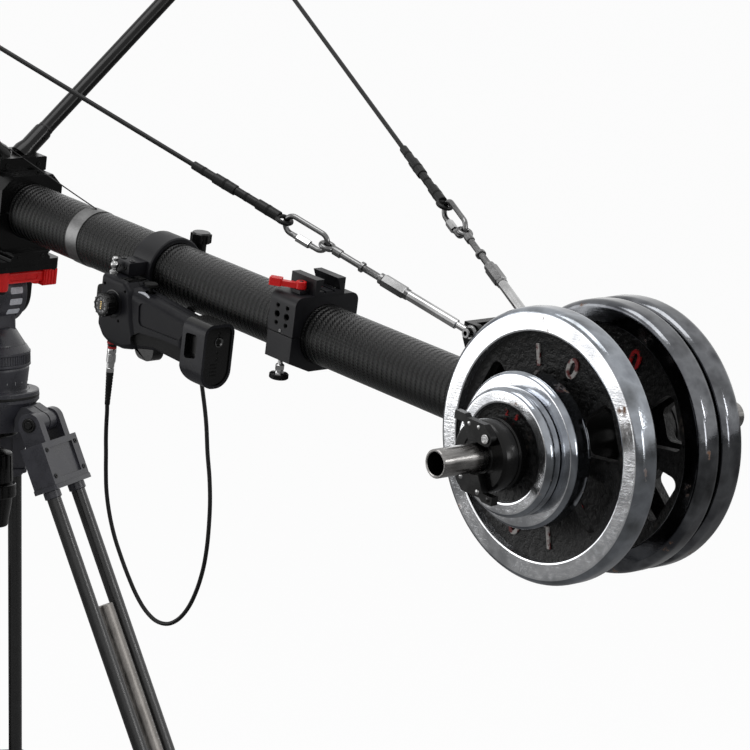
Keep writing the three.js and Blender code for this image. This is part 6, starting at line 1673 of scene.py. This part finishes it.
# Cradle that holds the boom, with the sockets of the mast.
def add_cradle():
    finishes = [black_metal, cam_steel]
    space = ((-90, 0, 0), (90, 0, 0), TUBE_RADIUS + 0.3, 96)
    saddle = [(-34, -50), (34, -50), (46, -37.7), (46, -0.6), (-46, -0.6), (-46, -37.7)]
    form = Form().slab(saddle, -70, 70, "x")
    form.cut(Form().rod(*space))
    rail = [(30, -61.7), (30, -57.5), (26, -53.7), (30, -49.7)]
    rail += [(-y, z) for y, z in reversed(rail)]
    form.slab(rail, -80, 80, "x")
    add_side_screws(form, 1, 46.2, [(-54, -20), (54, -20)], *LARGE_SCREW)
    add_screws(form, 1, [(80.1, y, -55.7) for y in (-18, 18)], ALONG_X, *SMALL_SCREW)
    nodes = ["cradle_lower"]
    piece("cradle_saddle", form, TUBE, "boom", finishes, nodes, 0.9, 3)

    arch = [(-46, 0.6), (46, 0.6), (46, 29), (30, 45), (-30, 45), (-46, 29)]
    cap = Form().slab(arch, -70, 70, "x")
    cap.cut(Form().rod(*space))
    boss = Form().slab(box_outline(-36, 36, 44, 62, 2.0), MAST_X - 26, MAST_X + 26, "x")
    for side in SIDES:
        root, slope = strut_line(side)
        socket = [(9.9, 19), (14, 20), (14, 27), (11.6, 36), (11.6, 62), (11, 64.4), (9.9, 65)]
        cap.turned(socket, root, root + slope)
        boss.cut(Form().rod(root + slope * 18.7, root + slope * 80, 9.8, 48))
        spot = root + slope * 54 + Vector((11.5, 0, 0))
        add_screws(cap, 1, [spot], ALONG_X, *SMALL_SCREW)
    cap.join(boss)
    add_screws(cap, 1, [(x, y, 45.2) for x in (-58, 58) for y in (-20, 20)], UP, *LARGE_SCREW)
    add_screws(cap, 1, [(MAST_X + 26.1, y, 53) for y in (-24, 24)], ALONG_X, *SCREW)
    piece("cradle_cap", cap, TUBE, "boom", finishes, ["cradle_upper"], 0.9, 3)


add_cradle()


# Fluid head: the platform in the frame of its tilt axis, the rest in the column's frame.
LEVER_X, LEVER_Y, LEVER_TOP = 62, -28, 43.7
BOWL_RADIUS, BALL_RADIUS = 50.0, 49.6
BOWL_HOLE = math.asin(24 / BOWL_RADIUS)


def node_points(node, place):
    """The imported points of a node, in a frame of this script."""
    back = place.inverted()
    return [back @ vertex.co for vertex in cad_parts[node].data.vertices]


def add_platform():
    edge = [(71, -50), (75, -46), (75, 46), (71, 50)]
    form = Form().slab(edge + [(-x, y) for x, y in reversed(edge)], 44, 58, "z")
    for x0, x1, y0, y1 in ((-80, 80, -60, -48.6), (-80, 80, 48.6, 60), (73.6, 80, -60, 60)):
        form.cut(Form().block(x0, x1, y0, y1, 50, 51.6))
    for side in SIDES:
        cheek = [(34, 44.2), (-34, 44.2)] + arc((0, 0), 34, 180, 360, 48)
        body = Form().slab(cheek, *both_sides(side, 32.2, 42))
        form.join(body.cut(Form().pin(0, 0, side * 20, side * 60, 14.3, 64)))
    spots = [(26 * math.cos(t), 26 * math.sin(t)) for t in turns(6, 0.3)]
    add_side_screws(form, 1, 42.1, spots, *SMALL_SCREW)
    form.post(LEVER_X, LEVER_Y, 44.5, 14.6, 4, 32, 1, 0.3)
    form.post(LEVER_X, LEVER_Y, 18, 14.5, 7, 40, 1, 0.6)
    form.post(66, 44, 44.5, 34, 4.6, 32, 2, 0.8)
    form.post(66, 44, 44.5, 40.5, 6.2, 32, 0, 0.5)
    finishes, nodes = [black_metal, cam_steel, polished], ["tilt_platform"]
    piece("platform_plate", form, BOOM, "boom", finishes, nodes, 0.9, 3)


def add_platform_lever():
    x, y, top = LEVER_X, LEVER_Y, LEVER_TOP
    lever = Form().post(x, y, 18.3, top, 9, 48, 0, 0.8)
    lever.slab(box_outline(x - 7, x + 7, top - 17, top - 2, 3.5), y, 31)
    lever.cut(Form().slab(box_outline(-20, 22, top - 13, top - 6, 3), x + 6, x + 10, "x"))
    lever.slab(box_outline(x - 10, x + 10, top - 22, top, 2.5), 30, 50)
    lever.cut(Form().post(x, y, 10, 60, 4.3, 40))
    add_row(lever, 0, (x + 10.2, 40, top - 11), 4, (0, 4.6, 0), (1.6, 2.4, 19))
    lever.post(x, 24, top - 20, top - 16.5, 5.4, 32, 0, 0.8)
    nodes, body = ["platform_lever"], "platform_lever"
    piece("release_lever", lever, BOOM, body, red_metal, nodes, 0.9, 3)


def add_pan():
    """Ribbed turning base, the pedestal, and the drum that carries the platform."""
    base = [
        (0, 30.3), (50.8, 30.3), (52, 31.4), (52, 34), (51, 34.6), (51, 45.4), (52, 46), (52, 49),
        (51, 50.2), (47.4, 56), (46, 57.4), (0, 57.4),
    ]
    form = Form().turned(base, steps=128)
    form.turned([(0, 57), (46, 57), (45.4, 60), (34, 78), (31, 80), (0, 80)], steps=12)
    add_ribs(form, 0, (0, 0, 40), UP, 84, 51.2, (1.2, 1.9, 10.6))
    add_ribs(form, 1, (0, 0, 49.2), UP, 36, 51.6, (0.5, 0.5, 1.6))
    form.slab(box_outline(-28, 28, -25, 25, 8), 61.5, TILT_AXIS - 20, "z")
    drum = [
        (0, -31.7), (38, -31.7), (39, -31), (41, -30.4), (42, -29.4), (42, -22), (41.2, -21.4),
        (41.2, -19.6), (42, -19),
    ]
    form.turned(mirrored(drum), (0, 0, TILT_AXIS), (0, 1, TILT_AXIS), 96)
    form.pin(0, TILT_AXIS, -44, 44, 14, 64, 2, 0.8)
    button = [(0, 43.4), (8, 43.4), (8, 44), (6, 44), (0, 43.6)]
    for side in SIDES:
        form.turned(button, (0, 0, TILT_AXIS), (0, side, TILT_AXIS), 40, 1)
    for degrees in (2, -18, -38):
        turn = Matrix.Translation((0, 0, TILT_AXIS))
        turn = turn @ Matrix.Rotation(-math.radians(degrees), 4, "Y")
        mark = Form().slab(box_outline(4, 23, -4.2, 4.2, 2.0), 41.0, 42.05, "x", 3)
        form.join(mark, turn)
    finishes = [enamel, cam_steel, rod_steel, glow_strip]
    piece("pan_housing", form, CROWN, "pan", finishes, ["pan_body"], 0.4)


def add_base():
    """Half ball with its stud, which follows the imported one, and a scale of fine marks."""
    points = node_points("head_base", CROWN)
    lowest = min(p.z for p in points)
    stud = max(p.xy.length for p in points if p.z < lowest + 2)
    profile = [(0, lowest), (stud - 0.8, lowest), (stud, lowest + 0.8)]
    profile.append((stud, -math.sqrt(BALL_RADIUS ** 2 - 100)))
    profile += quarter_bowl(BALL_RADIUS, BOWL_HOLE, 16)
    profile += [(47, 0.6), (47, 6), (48.6, 16), (50, 26), (50, 28.6), (49.2, 30), (0, 30)]
    form = Form().turned(profile, steps=96)
    add_ribs(form, 0, (0, 0, 27), UP, 60, 49.7, (0.6, 1.2, 3.4))
    for k, t in enumerate(turns(24, 0.1)):
        spot = Vector((47.9 * math.cos(t), 47.9 * math.sin(t), 11))
        add_row(form, 1, spot, 1, ORIGIN, (0.5, 0.5, 2.2 if k % 4 else 4.5))
    finishes = [enamel, pale_mark]
    piece("bowl_base", form, CROWN, "tripod", finishes, ["head_base"], 0.3)


def add_knob():
    profile = [
        (0, -52.3), (33.2, -52.3), (34, -53.2), (34, -57), (32, -58.3), (13, -64.3), (12, -66),
        (12, -75), (25.5, -80), (27, -82), (27, -119), (26, -121), (30, -121), (31, -122),
        (31, -136.8), (30, -138), (26, -138), (25.4, -146), (19.6, -174.8), (18.4, -176), (0, -176),
    ]
    form = Form().turned(profile)
    reach = min(p.z for p in node_points("head_base", CROWN))
    form.cut(Form().post(0, 0, -40, reach - 1.0, 10.4, 48))
    add_lobes(form, (0, 0, -101), UP, 12, 25.2, 2.6, 33)
    add_ribs(form, 0, (0, 0, -129.5), UP, 48, 30.6, (0.9, 1.6, 12))
    nodes = ["tie_down_knob"]
    piece("bowl_knob_grip", form, CROWN, "bowl_knob", black_plastic, nodes, 0.3)


# Tripod: the crown with its six ears, and three legs of two tubes with a lower tube between.
PIN_RADIUS, EAR_RADIUS = 5, 13
RAIL_Y = 33
CLAMP_LOW, CLAMP_HIGH = -600, -545
FOOT_CENTRE, FOOT_RADIUS = Vector((0, 0, -958.7)), 20


def add_crown():
    profile = [(24, -52)] + quarter_bowl(BOWL_RADIUS, BOWL_HOLE, 16)
    profile += [(60.8, 0), (62, -1.2), (62, -13), (61, -14), (56, -20), (46, -40), (40, -52)]
    form = Form().turned(profile, steps=128)
    form.turned([(61.8, -5), (62.3, -5.6), (62.3, -8.4), (61.8, -9)], steps=128, finish=1)
    ear = [(46, -18), (60, -17), (74, -25)]
    ear += arc((HINGE_RADIUS, -HINGE_DROP), EAR_RADIUS, 80, -80, 20) + [(60, -50), (44, -50)]
    for degrees in LEG_TURNS:
        turn = Matrix.Rotation(math.radians(degrees), 4, "Z")
        arm = Form().slab(ear, -20, 20)
        arm.cut(Form().block(62, 100, -1.2, 1.2, -60, -10))
        arm.pin(HINGE_RADIUS, -HINGE_DROP, -36, 36, PIN_RADIUS, 40, 1, 0.6)
        form.join(arm, turn)
        add_screws(form, 1, [turn @ Vector((54.5, y, -17.6)) for y in (-11, 11)], UP, *SCREW)
        middle = math.radians(degrees + 60)
        spot = (55 * math.cos(middle), 55 * math.sin(middle), 0.2)
        add_screws(form, 1, [spot], UP, 2.6, 1.2, 1.3)
    finishes = [enamel, cam_steel]
    piece("bowl_crown", form, CROWN, "tripod", finishes, ["crown"], 0.6)


def add_leg_frame(place, name):
    form = Form()
    cheek = [(-15, -27), (15, -27)] + arc((0, 0), 15, 0, 180, 32)
    lock_ear = [(17.5, -579), (25, -579), (27.4, -575), (27.4, -565), (25, -561), (17.5, -561)]
    cap = [(5.8, 33), (9, 33), (9, 34.2), (8, 35), (5.8, 35)]
    for side in SIDES:
        y = side * RAIL_Y
        ear = Form().slab(cheek, *both_sides(side, 20.3, RAIL_Y))
        ear.cut(Form().pin(0, 0, side * 15, side * 40, PIN_RADIUS + 0.3, 40))
        form.join(ear.turned(cap, ORIGIN, (0, side, 0), 40, 2))
        form.post(0, y, -85, -546, 9, 48, 1)
        form.turned([(9, 0), (11, 0.6), (11, 9), (9, 10)], (0, y, -86), (0, y, -87), 48)
        form.turned([(9, 0), (10.6, 0.6), (10.6, 7), (9, 8)], (0, y, -545), (0, y, -544), 48)
        form.slab(lock_ear, *both_sides(side, 10.3, 16))
    casting = Form().block(-16, 16, -46, 46, -80, -26)
    for x0, x1 in ((13.5, 20), (-20, -13.5)):
        casting.cut(Form().block(x0, x1, -30, 30, -73, -34))
    form.join(casting)
    form.slab(box_outline(-18, 18, -48, 48, 5), -86, -80, "z")
    form.slab(box_outline(-9, 9, -70, -56, 2), 45.5, 46.4, "y", 3)
    clamp = Form().slab(box_outline(-16, 18, -46, 46, 6), CLAMP_LOW, CLAMP_HIGH, "z")
    clamp.cut(Form().post(0, 0, -540, -605, 11.3, 64))
    form.join(clamp.cut(Form().block(11, 30, -1, 1, -610, -540)))
    add_screws(form, 2, [(0, 46.1, -43)], ALONG_Y, *SCREW)
    for x, across, heights in ((16.2, (-38, 38), (-36, -70)), (18.2, (-36, 36), (-558, -588))):
        spots = [(x, y, z) for y in across for z in heights]
        add_screws(form, 2, spots, ALONG_X, *SCREW)
    finishes, nodes = [enamel, tube_black, cam_steel, satin_metal], [name + "_upper"]
    piece(name + "_frame", form, place, name, finishes, nodes, 0.8)


def add_leg_tube(place, name):
    """Lower tube with its scale, and a rubber ball that is cut level with the floor."""
    lower = Form().rod((0, 0, -243), FOOT_CENTRE, 11, 64, 0, 1)
    add_row(lower, 2, (11.0, 0, -420), 30, (0, 0, 8), (0.4, 3.0, 0.6))
    sleeve = [(11, -918), (12.6, -919), (12.6, -934), (17, -941), (17, -944), (11, -946)]
    lower.turned(sleeve, finish=1)
    add_ribs(lower, 1, (0, 0, -926.5), UP, 28, 12.5, (0.9, 1.4, 12))
    upwards = (place.to_3x3().inverted() @ Vector(UP)).normalized()
    sole = min(node_points(name + "_lower", place), key=lambda p: (place @ p).z)
    side = upwards.orthogonal().normalized() * 60
    other = upwards.cross(side)
    corners = (side + other, other - side, -side - other, side - other)
    box = Form().prism([[sole + upwards * rise + c for c in corners] for rise in (0, -60)])
    lower.join(Form().ball(FOOT_CENTRE, FOOT_RADIUS, 64, 1).cut(box))
    finishes, nodes = [leg_alloy, rubber, pale_mark], [name + "_lower"]
    piece(name + "_tube", lower, place, name + "_extension", finishes, nodes, 0.3)


def add_leg_lock(place, name):
    lock = Form().pin(24.3, -570, -10, 10, 6, 48, 0, 0.5)
    outline = [
        (20.5, -570), (27.3, -570), (27.3, -566), (26.5, -560), (26.5, -512), (25, -510),
        (21.5, -510), (20.5, -514),
    ]
    lock.slab(outline, -9, 9)
    add_row(lock, 0, (26.5, 0, -521), 5, (0, 0, 3.2), (0.9, 15, 1.3))
    body, nodes = name + "_lever", [name + "_lock"]
    piece(name + "_lock_lever", lock, place, body, black_plastic, nodes, 0.5)


# Front end: the nose block, and the remote head that hangs from its pin.
NOSE_START, NOSE_END = -2145.9, -2135.9
YOKE_Z = -332.3


def add_nose():
    start, pin = NOSE_START, NOSE_REACH
    plug = [(0, start), (34.4, start), (35.2, start + 0.8)]
    form = Form().turned(mirrored(plug, (start + NOSE_END) / 2), ORIGIN, ALONG_X, 96)
    outline = [(start + 1, 27)] + arc((pin, 0), 27, 90, 270, 32) + [(start + 1, -27)]
    washer = [(6.2, 33), (11, 33), (11, 34.6), (10, 35.4), (6.2, 35.4)]
    for side in SIDES:
        form.slab(outline, *both_sides(side, 22, 33))
        form.turned(washer, (pin, 0, 0), (pin, side, 0), 48, 1)
    add_side_screws(form, 1, 33.1, [(pin + 40, -16), (pin + 40, 16)], *SCREW)
    form.pin(pin, 0, -38, 38, 6, 48, 1, 0.6)
    spots = [(start - 0.1, y, z) for y in (-13, 13) for z in (-22, 22)]
    add_screws(form, 1, spots, (-1, 0, 0), *SCREW)
    finishes = [black_metal, cam_steel]
    piece("nose_fork", form, TUBE, "boom", finishes, ["nose_block"], 0.8)


def motor(form, start, end, radius):
    """Round housing with eased ends and two grooves, between two places."""
    length = (Vector(end) - Vector(start)).length
    profile = [(0, 0), (radius - 2, 0), (radius, 2), (radius, 10)]
    profile += [(radius - 0.9, 10.6), (radius - 0.9, 12.4)]
    return form.turned(mirrored(profile, length / 2), start, end, 96)


def add_bracket(finishes):
    outline = [(-17, -91), (17, -91)] + arc((0, 0), 20, -32, 212, 48)
    bracket = Form().slab(outline, -21.7, 21.7)
    bracket.cut(Form().pin(0, 0, -30, 30, 6.3, 48))
    motor(bracket, (0, 0, -90), (0, 0, -168), 46)
    bracket.post(0, 0, -167, -182, 12, 48, 1, 0.6)
    add_ribs(bracket, 0, (0, 0, -129), UP, 60, 46, (1.2, 2.2, 40))
    add_side_screws(bracket, 1, 21.8, [(0, -50), (0, -74)], *SCREW)
    bracket.rod((45, 0, -104), (49.5, 0, -104), 6, 40, 1, 0.5)
    body, nodes = "level_bracket", ["levelling_bracket"]
    piece("level_arm", bracket, HEAD, body, finishes, nodes, 0.7)


def add_yoke(finishes):
    yoke = Form().slab(box_outline(-26, 26, -128, 26, 8), -198.3, -182.3, "z")
    yoke.cut(Form().post(0, 0, -180, -200, 12.3, 64))
    hub = [(12.3, -182.4), (12.3, -168.3), (41, -168.3), (42, -169.3), (42, -182.4)]
    yoke.turned(hub, steps=96)
    yoke.slab(box_outline(-26, 26, YOKE_Z, -197, 8), -128, -112)
    motor(yoke, (0, -128, YOKE_Z), (0, -84, YOKE_Z), 40)
    yoke.pin(0, YOKE_Z, -85, -72, 10, 48, 1, 0.6)
    add_ribs(yoke, 0, (0, -106, YOKE_Z), ALONG_Y, 52, 40, (1.2, 2.2, 18))
    add_screws(yoke, 1, [(x, y, -182.1) for x in (-18, 18) for y in (-60, -100)], UP, *SCREW)
    spots = [(x, -128.1, z) for x in (-18, 18) for z in (-215, -255)]
    add_screws(yoke, 1, spots, (0, -1, 0), *SCREW)
    piece("yoke_frame", yoke, HEAD, "yoke", finishes, ["head_yoke"], 0.7)


def add_camera_stage(finishes):
    outline = [(-24, -400), (24, -400)] + arc((0, YOKE_Z), 30, -37, 217, 48)
    stage = Form().slab(outline, -83.7, -69.7)
    stage.cut(Form().pin(0, YOKE_Z, -90, -60, 10.3, 64))
    table = Form().slab(box_outline(-75, 75, -83.7, 66, 9), -406.3, -394.3, "z")
    for x in (-40, 0, 40):
        table.cut(Form().slab(box_outline(x - 3.2, x + 3.2, -30, 46, 3), -410, -390, "z"))
    stage.join(table)
    add_screws(stage, 1, [(x, -76.7, -394.1) for x in (-50, -36, 36, 50)], UP, *SCREW)
    nodes = ["camera_stage"]
    piece("stage_plate", stage, HEAD, "camera_stage", finishes, nodes, 0.8)


add_platform()
add_platform_lever()
add_pan()
add_base()
add_knob()
add_crown()
for number, degrees in enumerate(LEG_TURNS, 1):
    for add in (add_leg_frame, add_leg_tube, add_leg_lock):
        add(leg_place(degrees), f"leg_{number}")
add_nose()
for add in (add_bracket, add_yoke, add_camera_stage):
    add([satin_metal, cam_steel])
